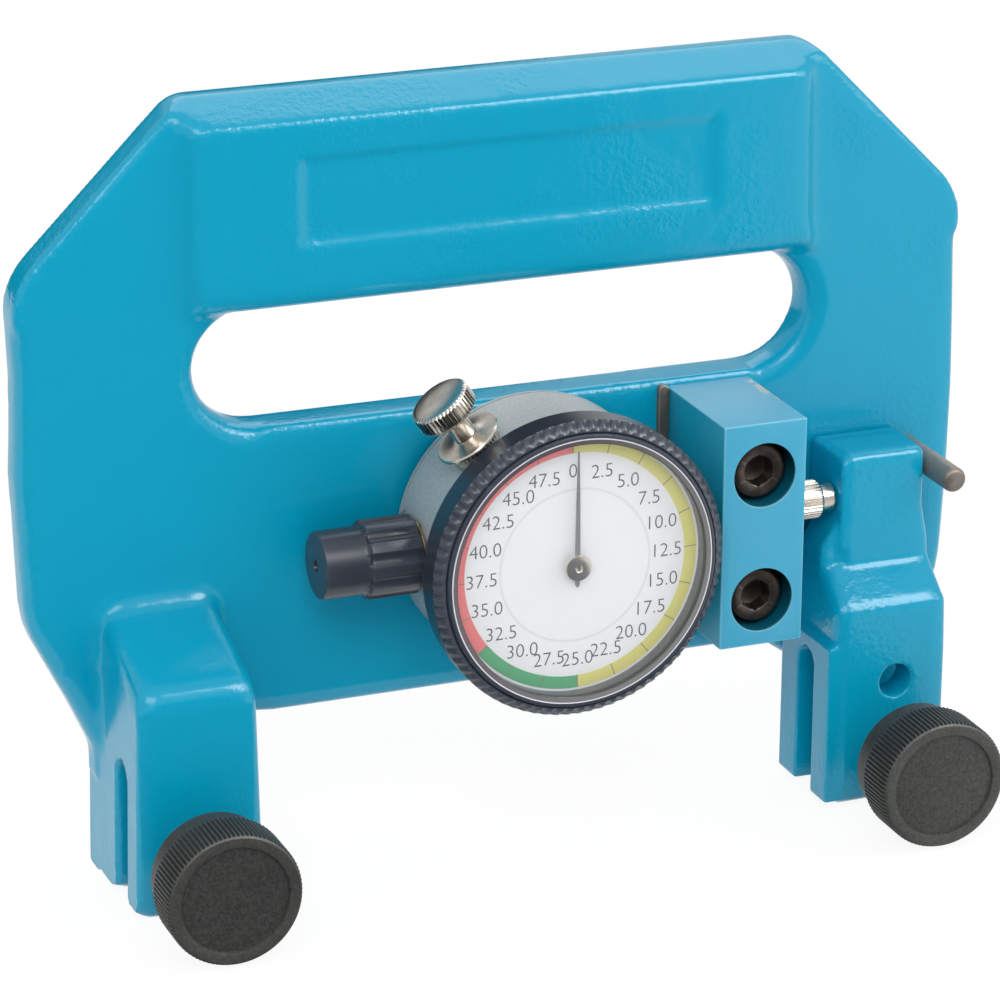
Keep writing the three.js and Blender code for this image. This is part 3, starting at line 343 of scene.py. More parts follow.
def applied(thing):
    """Takes an object away and gives its mesh with its modifiers applied."""
    bm = bmesh.new()
    bm.from_mesh(thing.evaluated_get(bpy.context.evaluated_depsgraph_get()).to_mesh())
    bpy.data.objects.remove(thing)
    return bm


def carved(bm, *tools):
    """Cuts tools out of a mesh with exact booleans. All are in millimetres."""
    base = put("work", mesh_of(bm))
    helpers = [put("work", mesh_of(tool)) for tool in tools]
    for helper in helpers:
        step = base.modifiers.new("cut", "BOOLEAN")
        step.operation, step.solver, step.object = "DIFFERENCE", "EXACT", helper
    result = applied(base)
    for helper in helpers:
        bpy.data.objects.remove(helper)
    return result


def rounded(bm, edges, width, steps):
    bmesh.ops.bevel(
        bm, geom=edges, offset=width, segments=steps, affect="EDGES", profile=0.5, material=-1,
    )


def block(x, depth, height, edge=0.0, steps=2):
    """A box between two values along each axis. Depth counts forward and height from the feet."""
    bm = bmesh.new()
    bmesh.ops.create_cube(bm, size=1.0)
    size = (x[1] - x[0], depth[1] - depth[0], height[1] - height[0])
    middle = (sum(x) / 2, -sum(depth) / 2, sum(height) / 2 - FOOT_TO_MIDDLE)
    bmesh.ops.scale(bm, vec=size, verts=bm.verts)
    bmesh.ops.translate(bm, vec=middle, verts=bm.verts)
    if edge:
        rounded(bm, bm.edges[:], edge, steps)
    return bm


print("pieces can be made; nodes to dress:", len(nodes))

# %% [markdown]
# The frame and the arm are sand castings under a thick coat of gloss enamel. The paint fills small
# hollows and pulls thin over edges, so it ripples, and every edge is round. Two sizes of noise
# drive its bump, and a third roughens patches where the sand was coarse. On bulging edges a
# lighter speckle is painted highlight, partly paint worn thin, and a few chips show bare metal.

# %% Enamel over a casting
ENAMEL = (0.0, 0.335, 0.530)
ENAMEL_EDGE = (0.03, 0.42, 0.62)
BARE_IRON = (0.62, 0.62, 0.60)


def enamel():
    paint = Finish("cast_paint")
    point = paint.pointiness()
    bulge = point.over(0.53, 0.05)
    turn = (point - 0.5).size().over(0.02, 0.03)
    cloud = paint.noise(38, detail=2.0)
    speck = paint.noise(1.1, detail=2.0, rough=0.6)
    # Painted highlight: a lighter speckle on bulging edges, partly paint worn thin.
    edge_sheen_and_wear = bulge * speck.over(0.52, 0.22)
    colour = paint.mix(cloud * 0.06, ENAMEL, ENAMEL_EDGE)
    colour = paint.mix(edge_sheen_and_wear * 0.45, colour, ENAMEL_EDGE)
    chip = bulge * paint.noise(7, detail=4.0, rough=0.7).over(0.78, 0.02)
    colour = paint.mix(chip, colour, BARE_IRON)
    waves = paint.noise(5, detail=2.0, rough=0.5)
    fine = paint.noise(1.2, detail=2.0, rough=0.5)
    sandy = paint.noise(26, detail=2.0).over(0.54, 0.12)
    rough = 0.13 + cloud * 0.06 + speck * 0.04 + chip * 0.2
    normal = paint.bump(waves, 0.5, 0.16)
    normal = paint.bump(fine * (0.25 + turn), 0.7, 0.10, normal)
    normal = paint.bump(speck * sandy, 0.8, 0.16, normal)
    return paint.surface(colour, rough, chip, normal, 1.44)


cast_paint = enamel()
print("enamel nodes:", len(cast_paint.node_tree.nodes))

# %% [markdown]
# A casting has no sharp edge. Its solid is remade in small cubes of even size and then smoothed,
# which rounds each edge and corner by about a millimetre, as the sand and the paint do. Remeshing
# also melts bodies that overlap into one, so blocks can fill a corner or a hollow beforehand.

# %% Cast skins


def cast_skin(name, node, body, cube, cut, fill, softness, draw):
    """`softness` counts passes and `draw` moves points, both from x, depth and height."""
    bm = bmesh.new()
    bm.from_mesh(nodes[node].data)
    bmesh.ops.remove_doubles(bm, verts=bm.verts, dist=1e-6)
    bmesh.ops.scale(bm, vec=(1 / MM, 1 / MM, 1 / MM), verts=bm.verts)
    bm = joined(carved(bm, *cut), *fill)
    bmesh.ops.scale(bm, vec=(MM, MM, MM), verts=bm.verts)
    work = put("work", mesh_of(bm))
    remade = work.modifiers.new("cubes", "REMESH")
    remade.mode, remade.voxel_size = "VOXEL", cube
    skin = applied(work)

    def where(vert):
        return vert.co.x / MM, -vert.co.y / MM, vert.co.z / MM + FOOT_TO_MIDDLE

    wanted = {vert: softness(*where(vert)) for vert in skin.verts}
    done = 0
    for step in sorted(set(wanted.values())):
        group = [vert for vert, number in wanted.items() if number >= step]
        for _ in range(step - done):
            bmesh.ops.smooth_vert(
                skin, verts=group, factor=0.5, use_axis_x=True, use_axis_y=True, use_axis_z=True,
            )
        done = step
    for vert in skin.verts:
        right, up = draw(*where(vert))
        vert.co += Vector((right, 0, up)) * MM
    mesh = mesh_of(skin, name)
    print(name, "has", len(mesh.polygons) * 2, "triangles")
    return dress(mesh, name, body, cast_paint, node, sharp=80)


def wedge(x_low, x_high, depth, height):
    """A block whose left and right sides lean: each gets its X at the bottom and at the top."""
    bm = block((0, 1), depth, height)
    middle = sum(height) / 2 - FOOT_TO_MIDDLE
    for vert in bm.verts:
        side = x_high if vert.co.x > 0.5 else x_low
        vert.co.x = side[1] if vert.co.z > middle else side[0]
    return bm


print("a wedge has", len(wedge((0, 1), (3, 2), (0, 4), (0, 4)).faces), "faces")

# %% [markdown]
# Where two walls of a casting meet in a hollow the pattern maker puts a wide fillet, and a panel or
# a machined pad keeps a crisp edge. So the number of smoothing passes depends on the place. After
# it, some points move by up to two millimetres, because a hand-made pattern is never quite straight.

# %% Soft and crisp places of the castings


def between(value, *stops):
    """Straight steps between pairs of a value and what it gives."""
    if value <= stops[0][0]:
        return stops[0][1]
    for (low, first), (high, last) in zip(stops, stops[1:]):
        if value <= high:
            return first + (last - first) * (value - low) / (high - low)
    return stops[-1][1]


FRAME_MIDDLE = -1.2


def frame_softness(x, depth, height):
    off_middle = abs(x - FRAME_MIDDLE)
    panel = off_middle < 45 and 112 < height < 138.6 and depth > 11
    bar_edge = off_middle < 58 and 138.6 < height < 143.6 and depth > 9
    pad = 26 < x < 52 and 36 < height < 84.5
    foot_side = x < -76 and height < 41
    if panel or bar_edge or pad or foot_side:
        return 2
    bar_end = 54 < off_middle < 76 and height > 103 and depth > 8
    foot_root = -94 < x < -46 and 40 < height < 68 and depth > 7
    return 14 if bar_end or foot_root else 4


def draw_frame(x, depth, height):
    """How far a point of the frame moves to the right and up, in millimetres."""
    wing = between(abs(x - FRAME_MIDDLE), (58, 0), (68, 1))
    bar_up = between(
        height, (95, 0), (107.2, -1.2), (112, -0.2), (114, 0), (137, 0), (141.7, -1.1), (146, -1.0),
    )
    wing_up = between(height, (90, 0), (106, -1.1), (146, -1.0))
    rim_up = between(height, (66, 0), (82.8, 1), (95, 0)) * between(x, (-60, 0.7), (60, 0.3))
    web_up = between(height, (10, 0), (28, -1.0), (44, 0)) * between(abs(x), (46, 1), (56, 0))
    up = bar_up * (1 - wing) + wing_up * wing + rim_up + web_up
    slot_end = between(x, (-76, 0), (-68, 2.4), (-54, 2.4), (-20, 0))
    right = slot_end * between(height, (66, 0), (80, 1), (107, 1), (114, 0))
    bar_end = between(
        x, (-76, 0), (-68, 1.0), (-58, 1.0), (-44, 0), (44, 0), (56, -2.0), (67, -2.0), (78, 0),
    )
    bar_end *= between(height, (106, 0), (113, 0.75), (140, 1))
    right += bar_end * between(depth, (8.2, 0), (9, 1))
    left_side = between(
        height, (25, 0), (38, -0.6), (78, -0.6), (85, 0), (97, 0.8), (107, 0.8), (120, 0),
    )
    right_side = between(height, (55, 2.3), (75, 1.8), (104, 0))
    left_side *= between(x, (-90.5, 1), (-84.5, 0))
    right += left_side + right_side * between(x, (84.5, 0), (90, 1))
    foot = between(height, (0, 1.1), (44, 0.9), (54, 0)) * between(x, (-66, 0), (-59, 1), (-50, 1))
    right += foot * between(depth, (9, 0), (12, 1))
    flat = -80.05 + height * 0.9 / 44
    if abs(x - flat) < 0.6 and height < (40 if depth > 9.5 else 19) and depth < 29.6:
        right = flat - x
    return min(right, 91.84 - x), up


def arm_softness(x, depth, height):
    return 2 if x < 64 and (height < 35 or height > 47) else 5


def draw_arm(x, depth, height):
    right = between(height, (30, 2.0), (50, 1.5), (57, 0)) * between(x, (76, 0), (78.8, 1))
    shoulder = between(height, (34, 0), (42.3, -1.5), (47, 0)) * between(depth, (18, 0), (24, 1))
    return right, shoulder + between(height, (1.8, -1.3), (10, 0))


print("the bar's front edge comes down by", -draw_frame(0, 12, 141.7)[1], "mm")

# %% [markdown]
# Both feet have a slot for the blade, sawn through from side to side and closed by a round top. The
# saw leaves flat walls, so the slot is cut before the cubes are made, and the filling blocks beside
# it have the same slot.

# %% Skins of the frame and the arm
BLADE_SLOT = (16.7, 23.3)
FRAME_SLOT_TOP, ARM_SLOT_TOP = 27.8, 30.3
STOP_X = 81.6


def blade_slot(x, top):
    reach = (BLADE_SLOT[1] - BLADE_SLOT[0]) / 2
    round_top = across(rod(reach, *x, 40), depth=sum(BLADE_SLOT) / 2, height=top - reach)
    return [block(x, BLADE_SLOT, (-2, top - reach)), round_top]


frame_fill = [
    wedge((-80.05, -79.1), (-74, -74), (2, 14.6), (1, 44)),
    wedge((-80.05, -79.4), (-58.4, -58.4), (10, BLADE_SLOT[0]), (1.2, 29)),
    carved(wedge((-80.05, -79.2), (-73, -73), (2, 30.2), (2.8, 38.5)),
           *blade_slot((-90, -60), FRAME_SLOT_TOP)),
    block((28.3, 49.2), (1.5, 8.75), (39, 82.7)),
    block((-50, 29), (1.2, 8.72), (62, 82.75), 1.2, 3),
    in_depth(rod(2.5, 2.6, 8.6, 32), STOP_X, 64.7),
]
arm_fill = [
    carved(block((56.4, 65.5), (9.3, 30.0), (2.6, 33.3)), *blade_slot((50, 70), ARM_SLOT_TOP)),
    block((56.4, 79.0), (11, BLADE_SLOT[0]), (2.6, 32)),
    block((61.35, 78.9), (9.1, 21.5), (47, 68.5), 0.8, 2),
    block((61.3, 70), (9.1, 23.3), (50, 67.4), 0.4, 2),
]
cast_skin(
    "frame_cast_skin", "frame_casting", "frame", 0.8 * MM, blade_slot((-85, -52), FRAME_SLOT_TOP),
    frame_fill, frame_softness, draw_frame,
)
cast_skin(
    "arm_cast_skin", "rocker_arm", "arm", 0.5 * MM, blade_slot((52, 85), ARM_SLOT_TOP), arm_fill,
    arm_softness, draw_arm,
)

# %% [markdown]
# The block that holds the indicator's stem was milled and then painted in the same colour. Its
# coat is thinner and matter, with the fine grain of a blasted surface, and its edges stay crisp.
# Its sides are darkened as painted shade and its top is painted lighter. Its counterbores hold
# painted shade, and its edges and the counterbores' lower lips carry a painted highlight.

# %% Machined block
BLOCK_X, BLOCK_DEPTH, BLOCK_HEIGHT = (31.6, 48.2), (5.6, 34.4), (38.4, 81.8)
BLOCK_MIDDLE, BLOCK_FRONT, BLOCK_TOP = sum(BLOCK_X) / 2, BLOCK_DEPTH[1], BLOCK_HEIGHT[1]
COUNTERBORE = 6.2
SCREW_HEIGHTS = (FOOT_TO_MIDDLE - 12.2, FOOT_TO_MIDDLE + 12.2)


def near_edges(places, width):
    """1 along the edges of a box, from each coordinate and the span it has there."""
    near = []
    for value, (low, high) in places:
        off_middle = (value - (low + high) / 2).size()
        near.append((off_middle - (high - low) / 2).size().under(width, width))
    return near[0] * near[1] + near[1] * near[2] + near[2] * near[0]


def block_enamel():
    paint = Finish("block_paint")
    x, depth, height = paint.axis("X"), -paint.axis("Y"), paint.axis("Z") + FOOT_TO_MIDDLE
    edge = near_edges([(x, BLOCK_X), (depth, BLOCK_DEPTH), (height, BLOCK_HEIGHT)], 0.3)
    grain = paint.noise(0.35, detail=3.0, rough=0.65)
    cloud = paint.noise(12, detail=3.0)
    # Painted shade: the sides are darker than the front and top, and the top is painted lighter as
    # light falls.
    top_painted_light = height.over(BLOCK_TOP - 0.15, 0.1)
    front_and_top_unshaded = depth.over(BLOCK_FRONT - 0.15, 0.1) + top_painted_light
    colour = paint.mix(cloud * 0.3 + grain * 0.12, (0.03, 0.36, 0.56), (0.13, 0.47, 0.66))
    colour = paint.mix(front_and_top_unshaded, (0.0, 0.31, 0.47), colour)
    colour = paint.mix(top_painted_light * 0.6, colour, (0.20, 0.50, 0.66))
    for screw_height in SCREW_HEIGHTS:
        off_axis = ((x - BLOCK_MIDDLE) ** 2.0 + (height - screw_height) ** 2.0) ** 0.5
        # Painted shade inside each counterbore, darkest at the top, and a painted highlight along its
        # lower lip.
        counterbore_painted_shade = off_axis.under(COUNTERBORE + 0.05, 0.1) * depth.under(BLOCK_FRONT - 0.4, 0.8)
        lower = (height - screw_height).under(-1.0, 7.0)
        lip_painted_highlight = (off_axis - COUNTERBORE).size().under(0.12, 0.1) * lower
        shade = paint.mix(lower, (0.0, 0.010, 0.016), (0.0, 0.10, 0.16))
        colour = paint.mix(counterbore_painted_shade * 0.95, colour, shade)
        colour = paint.mix(lip_painted_highlight * depth.over(BLOCK_FRONT - 0.3, 0.1) * 0.7, colour, (0.30, 0.62, 0.74))
    # Painted highlight along the block's edges.
    colour = paint.mix(edge * 0.5, colour, (0.20, 0.55, 0.72))
    back_edge = x.over(BLOCK_X[1] - 1.6, 0.8) * height.over(BLOCK_TOP - 0.9, 0.3)
    patches = paint.noise(3, detail=4.0, rough=0.65).over(0.51, 0.05)
    bare = back_edge * patches * depth.under(24, 2)
    colour = paint.mix(bare, colour, BARE_IRON)
    normal = paint.bump(grain, 0.35, 0.03)
    return paint.surface(colour, 0.34 + grain * 0.16, bare, normal)


block_paint = block_enamel()
body_of_block = block(BLOCK_X, BLOCK_DEPTH, BLOCK_HEIGHT, 0.3, 3)
counterbores = [in_depth(rod(COUNTERBORE, 25.8, 40), BLOCK_MIDDLE, height) for height in SCREW_HEIGHTS]
screw_holes = [in_depth(rod(3.3, 5, 27, 32), BLOCK_MIDDLE, height) for height in SCREW_HEIGHTS]
stem_hole = across(rod(STEM_HOLE, 28, 52))
machined = carved(body_of_block, *counterbores, *screw_holes, stem_hole)
piece(machined, "clamp_block_body", "frame", block_paint, "clamp_block", sharp=20)
print("block is", round(BLOCK_TOP - BLOCK_HEIGHT[0], 1), "mm high")

# %% [markdown]
# Two hardened socket screws hold the block. They are black from hot oxide, which goes brown and
# shiny where a key has turned in the hexagon.

# %% Socket screws


def oxide():
    steel = Finish("black_oxide")
    blot = steel.noise(3, detail=4.0, rough=0.65)
    fine = steel.noise(0.4, detail=2.0)
    rub = steel.pointiness().over(0.55, 0.06)
    colour = steel.mix(blot.over(0.5, 0.4), (0.032, 0.027, 0.025), (0.085, 0.062, 0.050))
    colour = steel.mix(rub * fine * 0.9, colour, (0.24, 0.22, 0.20))
    normal = steel.bump(fine, 0.3, 0.03)
    return steel.surface(colour, 0.30 + blot * 0.15 - rub * 0.08, 0.75, normal)


black_oxide = oxide()
SOCKET_RADIUS = 3.15


def hexagon(reach, start, end):
    bm = bmesh.new()
    bmesh.ops.create_cone(
        bm, cap_ends=True, segments=6, radius1=reach, radius2=reach, depth=end - start,
    )
    bmesh.ops.translate(bm, vec=(0, 0, (start + end) / 2), verts=bm.verts)
    return bm


def socket_screw(name, node, height):
    front, back = 31.9, 25.9
    shape = [
        (0, 1.9), (2.6, 1.9), (3, 2.3), (3, back), (4.8, back), (5.15, back + 0.3),
        (5.15, front - 0.55), (5.05, front - 0.25), (4.8, front - 0.05), (4.55, front),
        (3.2, front), (2.85, front - 0.2), (2.8, front - 3.4), (0, front - 4.6),
    ]
    screw = in_depth(turned(shape, 72), BLOCK_MIDDLE, height)
    socket = in_depth(hexagon(SOCKET_RADIUS, front - 3.3, front + 1), BLOCK_MIDDLE, height)
    return piece(carved(screw, socket), name, "frame", black_oxide, node, sharp=30)


socket_screw("socket_screw_low", "clamp_block_screw_lower", SCREW_HEIGHTS[0])
socket_screw("socket_screw_high", "clamp_block_screw_upper", SCREW_HEIGHTS[1])
print("hexagon is", round(SOCKET_RADIUS * math.sqrt(3), 2), "mm across flats")

# %% [markdown]
# A thin steel key stands in the frame beside the block and keeps it square. It is bare, so it has
# darkened and shows light rust. The stop pin at the right has the same history.

# %% Key and stop pin


def tired_steel():
    steel = Finish("dark_steel")
    blot = steel.noise(2.6, detail=5.0, rough=0.7)
    fine = steel.noise(0.5, detail=3.0)
    rub = steel.pointiness().over(0.54, 0.06)
    colour = steel.mix(blot.over(0.52, 0.2), (0.105, 0.095, 0.088), (0.19, 0.13, 0.09))
    colour = steel.mix(rub * 0.7, colour, (0.42, 0.40, 0.37))
    normal = steel.bump(fine + blot, 0.35, 0.05)
    return steel.surface(colour, 0.36 + blot * 0.3, 0.7, normal)


dark_steel = tired_steel()
KEY_WIDTH, KEY_LENGTH, KEY_THICKNESS = 2.2, 40.5, 5.3
KEY_X, KEY_BACK, KEY_HEIGHT = 30.5, 4.6, 62.15


def extruded(bm, way):
    """Pulls the faces of a flat mesh along a way, and closes its sides."""
    thick = bmesh.ops.extrude_face_region(bm, geom=bm.faces[:])
    moved = [part for part in thick["geom"] if isinstance(part, bmesh.types.BMVert)]
    bmesh.ops.translate(bm, vec=way, verts=moved)
    bmesh.ops.recalc_face_normals(bm, faces=bm.faces)
    return bm


def key_strip():
    reach = KEY_WIDTH / 2
    bm = bmesh.new()
    bmesh.ops.create_circle(bm, cap_ends=True, segments=48, radius=reach)
    placed(bm, Matrix.Rotation(math.pi / 48, 4, "Z"))
    for vert in bm.verts:
        vert.co.y += math.copysign(KEY_LENGTH / 2 - reach, vert.co.y)
    extruded(bm, (0, 0, KEY_THICKNESS))
    rounded(bm, [edge for edge in bm.edges if edge.calc_face_angle(0) > 0.8], 0.3, 3)
    bmesh.ops.translate(bm, vec=(0, 0, KEY_BACK), verts=bm.verts)
    return in_depth(bm, KEY_X, KEY_HEIGHT)


piece(key_strip(), "key_strip", "frame", dark_steel, "locating_key")
stop_section = [
    (0, 2.5), (2.4, 2.5), (2.4, 29.1), (2.32, 29.4), (1.95, 29.85), (1.7, 30.0), (0, 30.0),
]
stop = in_depth(turned(stop_section, 64), STOP_X, 63.7)
piece(stop, "stop_pin_turned", "frame", dark_steel, "stop_pin")
print("key is", KEY_WIDTH, "mm wide and", KEY_LENGTH, "mm long")

# %% [markdown]
# Each blade clamp is a thumb screw: a knurled steel knob pressed on a threaded stud. The thread is
# cut by moving the points of a turned rod in and out as they go round, one pitch for each turn.

# %% Clamp studs and knobs
CLAMP_X = 69.3
CLAMP_HEIGHT = 13.1
THREAD_PITCH = 1.25
THREAD_STEPS = 8


def threaded(tip, end, radius=3.0, tip_radius=2.3, tip_length=1.6):
    start = tip + tip_length + radius - tip_radius
    count = round((end - start) / THREAD_PITCH * THREAD_STEPS)
    rings = [(radius, start + (end - start) * i / count) for i in range(count + 1)]
    bm = turned([(0, tip), (tip_radius - 0.3, tip), (tip_radius, tip + 0.3),
                 (tip_radius, tip + tip_length), *rings, (0, end)], 40)
    for vert in bm.verts:
        across_radius = math.hypot(vert.co.x, vert.co.y)
        if across_radius < radius - 0.01:
            continue
        turn = math.atan2(vert.co.y, vert.co.x) / (2 * math.pi)
        phase = (vert.co.z / THREAD_PITCH - turn) % 1.0
        drop = 0.62 * min(1.0, max(0.0, 2.6 * abs(phase - 0.5) - 0.15))
        pull(vert, (radius - drop) / radius)
    return bm


def blackened():
    knob = Finish("knob_black")
    speck = knob.noise(0.5, detail=3.0, rough=0.65)
    cloud = knob.noise(8, detail=3.0)
    rub = knob.pointiness().over(0.545, 0.07)
    colour = knob.mix(speck.over(0.52, 0.3), (0.037, 0.039, 0.036), (0.074, 0.076, 0.070))
    colour = knob.mix(rub * cloud * 0.8, colour, (0.13, 0.125, 0.12))
    normal = knob.bump(speck, 0.4, 0.05)
    return knob.surface(colour, 0.42 + cloud * 0.12, 0.25, normal)


knob_black = blackened()
KNOB_BACK, KNOB_FRONT = 39.6, 53.8
KNOB_RIDGES = 94


def knob(side):
    rim = KNOB_BACK + 5.0
    shape = [
        (0, KNOB_BACK), (10.7, KNOB_BACK), (11.3, KNOB_BACK + 0.6), (11.3, rim), (11.9, rim),
        (12.15, rim + 0.1), (12.55, rim + 0.8), (12.55, KNOB_FRONT - 0.9), (12.25, KNOB_FRONT - 0.25),
        (11.9, KNOB_FRONT), (10.3, KNOB_FRONT), (10.05, KNOB_FRONT - 0.12), (9.85, KNOB_FRONT - 0.6),
        (0, KNOB_FRONT - 0.6),
    ]
    bm = knurled(shape, KNOB_RIDGES, 0.5, rim + 0.4, KNOB_FRONT - 0.6, 12.45)
    hole = rod(3.3, KNOB_BACK - 1, KNOB_FRONT - 3, 40)
    bm, hole = (in_depth(part, side * CLAMP_X, CLAMP_HEIGHT) for part in (bm, hole))
    bm = carved(bm, hole)
    label = "left" if side < 0 else "right"
    return piece(bm, label + "_knurled_knob", label + "_knob", knob_black, label + "_knob")


for side, label in ((-1, "left"), (1, "right")):
    knob(side)
    stud = in_depth(threaded(23.8, 50.5), side * CLAMP_X, CLAMP_HEIGHT)
    piece(stud, label + "_threaded_stud", label + "_stud", black_oxide, label + "_stud")
print("knob ridges:", KNOB_RIDGES)

# %% [markdown]
# The indicator's case is an aluminium casting that was turned, blasted and lacquered light grey.
# Its stem, its cap and the bezel clamp enter it from the sides, on spot-faced seats.

# %% Indicator case, cover and stem
CASE_BACK, CASE_FRONT = 11.6, 34.2
CASE_RADIUS = 25.5
WEB_BACK, WEB_FRONT = 27.6, 29.0


def lacquer():
    grey = Finish("case_grey")
    speck = grey.noise(0.45, detail=3.0, rough=0.7)
    cloud = grey.noise(9, detail=3.0)
    dots = grey.cells(0.9).under(0.28, 0.2)
    pale = speck.over(0.5, 0.5) * 0.8 + dots * 0.2
    colour = grey.mix(pale, (0.34, 0.38, 0.39), (0.56, 0.595, 0.59))
    normal = grey.bump(speck - dots * 0.4, 0.4, 0.05)
    return grey.surface(colour, 0.38 + cloud * 0.12, 0.25, normal)


case_grey = lacquer()


def spot_face():
    return across(rod(8.6, -60, DIAL_X - CASE_RADIUS + 0.9))


case_section = [
    (1.0, WEB_BACK), (23.1, WEB_BACK), (23.1, CASE_BACK), (25.2, CASE_BACK),
    (CASE_RADIUS, CASE_BACK + 0.3), (CASE_RADIUS, CASE_FRONT - 0.2), (25.3, CASE_FRONT),
    (23.1, CASE_FRONT), (23.1, WEB_FRONT), (1.0, WEB_FRONT),
]
case = in_depth(turned(case_section, 160), DIAL_X)
seats = [
    spot_face(), across(rod(STEM_HOLE, 10, 40)), across(rod(4.5, -40, 0)),
    on_clamp_axis(rod(1.8, 18, 40)),
]
case = carved(case, *seats)
piece(case, "indicator_case_cup", "frame", case_grey, "indicator_case", sharp=30)
cover_section = [
    (0, 10.75), (20.6, 10.75), (21.1, 10.3), (24.9, 10.3), (CASE_RADIUS, 10.9), (CASE_RADIUS, 11.5),
    (0, 11.5),
]
cover = carved(in_depth(turned(cover_section, 160), DIAL_X), spot_face())
piece(cover, "indicator_back_cover", "frame", case_grey, "case_back_cover", sharp=30)
print("case is", 2 * CASE_RADIUS, "mm across")

# %% [markdown]
# Bright parts are turned steel or nickel. Fine marks from the tool are a small noise in their bump.

# %% Bright metals


def bright(name, colour, stain, rough):
    metal = Finish(name)
    lines = metal.noise(0.5, detail=2.0)
    blot = metal.noise(4, detail=4.0, rough=0.6)
    mixed = metal.mix(blot.over(0.55, 0.35) * 0.7, colour, stain)
    normal = metal.bump(lines, 0.2, 0.02)
    return metal.surface(mixed, rough + blot * 0.12 + lines * 0.05, 1.0, normal)


nickel = bright("nickel", (0.72, 0.67, 0.60), (0.52, 0.47, 0.41), 0.16)
bright_steel = bright("bright_steel", (0.62, 0.61, 0.59), (0.45, 0.44, 0.42), 0.20)
brass = bright("brass", (0.74, 0.54, 0.24), (0.52, 0.36, 0.16), 0.24)

stem_section = [(2.5, 23.9), (4.5, 23.9), (4.76, 24.2), (4.76, 48.0), (4.5, 48.3), (2.5, 48.3)]
piece(across(turned(stem_section, 72)), "stem_tube", "frame", bright_steel, "indicator_stem")
print("bright finishes:", nickel.name, bright_steel.name, brass.name)

# %% [markdown]
# A moulded cap covers the back end of the spindle. Ten shallow hollows between broad lands give the
# fingers a grip. It screws on a brass collar, which shows as a thin bright line at its root.

# %% Spindle cap and collar
CAP_LEFT, CAP_RIGHT = -41.7, -23.1
CAP_FLUTES = 10
CAP_HOLLOW = 0.75


def moulded():
    navy = Finish("navy")
    speck = navy.noise(0.7, detail=3.0, rough=0.6)
    cloud = navy.noise(10, detail=2.0)
    rub = navy.pointiness().over(0.55, 0.06)
    colour = navy.mix(cloud * 0.5 + speck * 0.2, (0.023, 0.031, 0.045), (0.052, 0.064, 0.087))
    colour = navy.mix(rub * 0.5, colour, (0.09, 0.10, 0.13))
    normal = navy.bump(speck, 0.25, 0.03)
    return navy.surface(colour, 0.22 + cloud * 0.14, normal=normal)


navy = moulded()


def spindle_cap():
    left, right = CAP_LEFT, CAP_RIGHT
    root = right - 10.1
    shape = [
        (0, left + 1.1), (0.9, left + 0.9), (1.15, left), (5.6, left), (6.05, left + 0.15),
        (6.3, left + 0.6), (6.35, root - 0.9), (6.6, root - 0.2), (6.9, root), (7.15, root + 0.2),
        (7.3, root + 0.6), (7.3, right - 0.5), (7.2, right - 0.1), (7.0, right), (4.7, right),
        (4.7, left + 1.6), (0, left + 1.6),
    ]
    segments = CAP_FLUTES * 24
    bm = turned(shape, segments)
    for vert in bm.verts:
        radius = math.hypot(vert.co.x, vert.co.y)
        if radius < 6.85 or vert.co.z < root - 0.1:
            continue
        swing = math.cos(CAP_FLUTES * math.atan2(vert.co.y, vert.co.x))
        hollow = max(0.0, (swing + 0.15) / 1.15) ** 0.6
        pull(vert, 1 - CAP_HOLLOW * hollow / radius)
    return across(bm)


piece(spindle_cap(), "fluted_cap", "frame", navy, "spindle_cap", sharp=40)
collar_section = [
    (2.6, -23.0), (6.3, -23.0), (6.5, -22.9), (6.5, -22.7), (6.3, -22.6), (4.2, -22.6), (4.2, -19.9),
    (2.6, -19.9),
]
collar = across(turned(collar_section, 72))
piece(collar, "cap_collar_ring", "frame", brass, "spindle_cap_collar")
print("cap is", CAP_RIGHT - CAP_LEFT, "mm long")

# %% [markdown]
# The contact point screws into the spindle. It is knurled along its length for the fingers and ends
# in a flat polished tip that the arm pushes.

# %% Contact point
CONTACT_RIDGES = 30
contact_section = [
    (0, 45.6), (1.1, 45.6), (1.1, 49.6), (3.2, 49.6), (3.6, 50.1), (3.65, 50.2), (3.65, 57.9),
    (3.6, 58.0), (3.2, 58.4), (2.85, 58.45), (2.85, 60.8), (2.6, 61.05), (1.9, 61.2), (0, 61.2),
]
contact = across(knurled(contact_section, CONTACT_RIDGES, 0.22, 50.0, 58.1, 3.55))
piece(contact, "knurled_contact", "plunger", nickel, "contact_point")
print("contact ridges:", CONTACT_RIDGES)

# %% [markdown]
# The bezel turns on the case and a thumb screw holds it. The screw is nickel plated, with a knurled
# head, and presses a flanged washer on the bezel's rim.

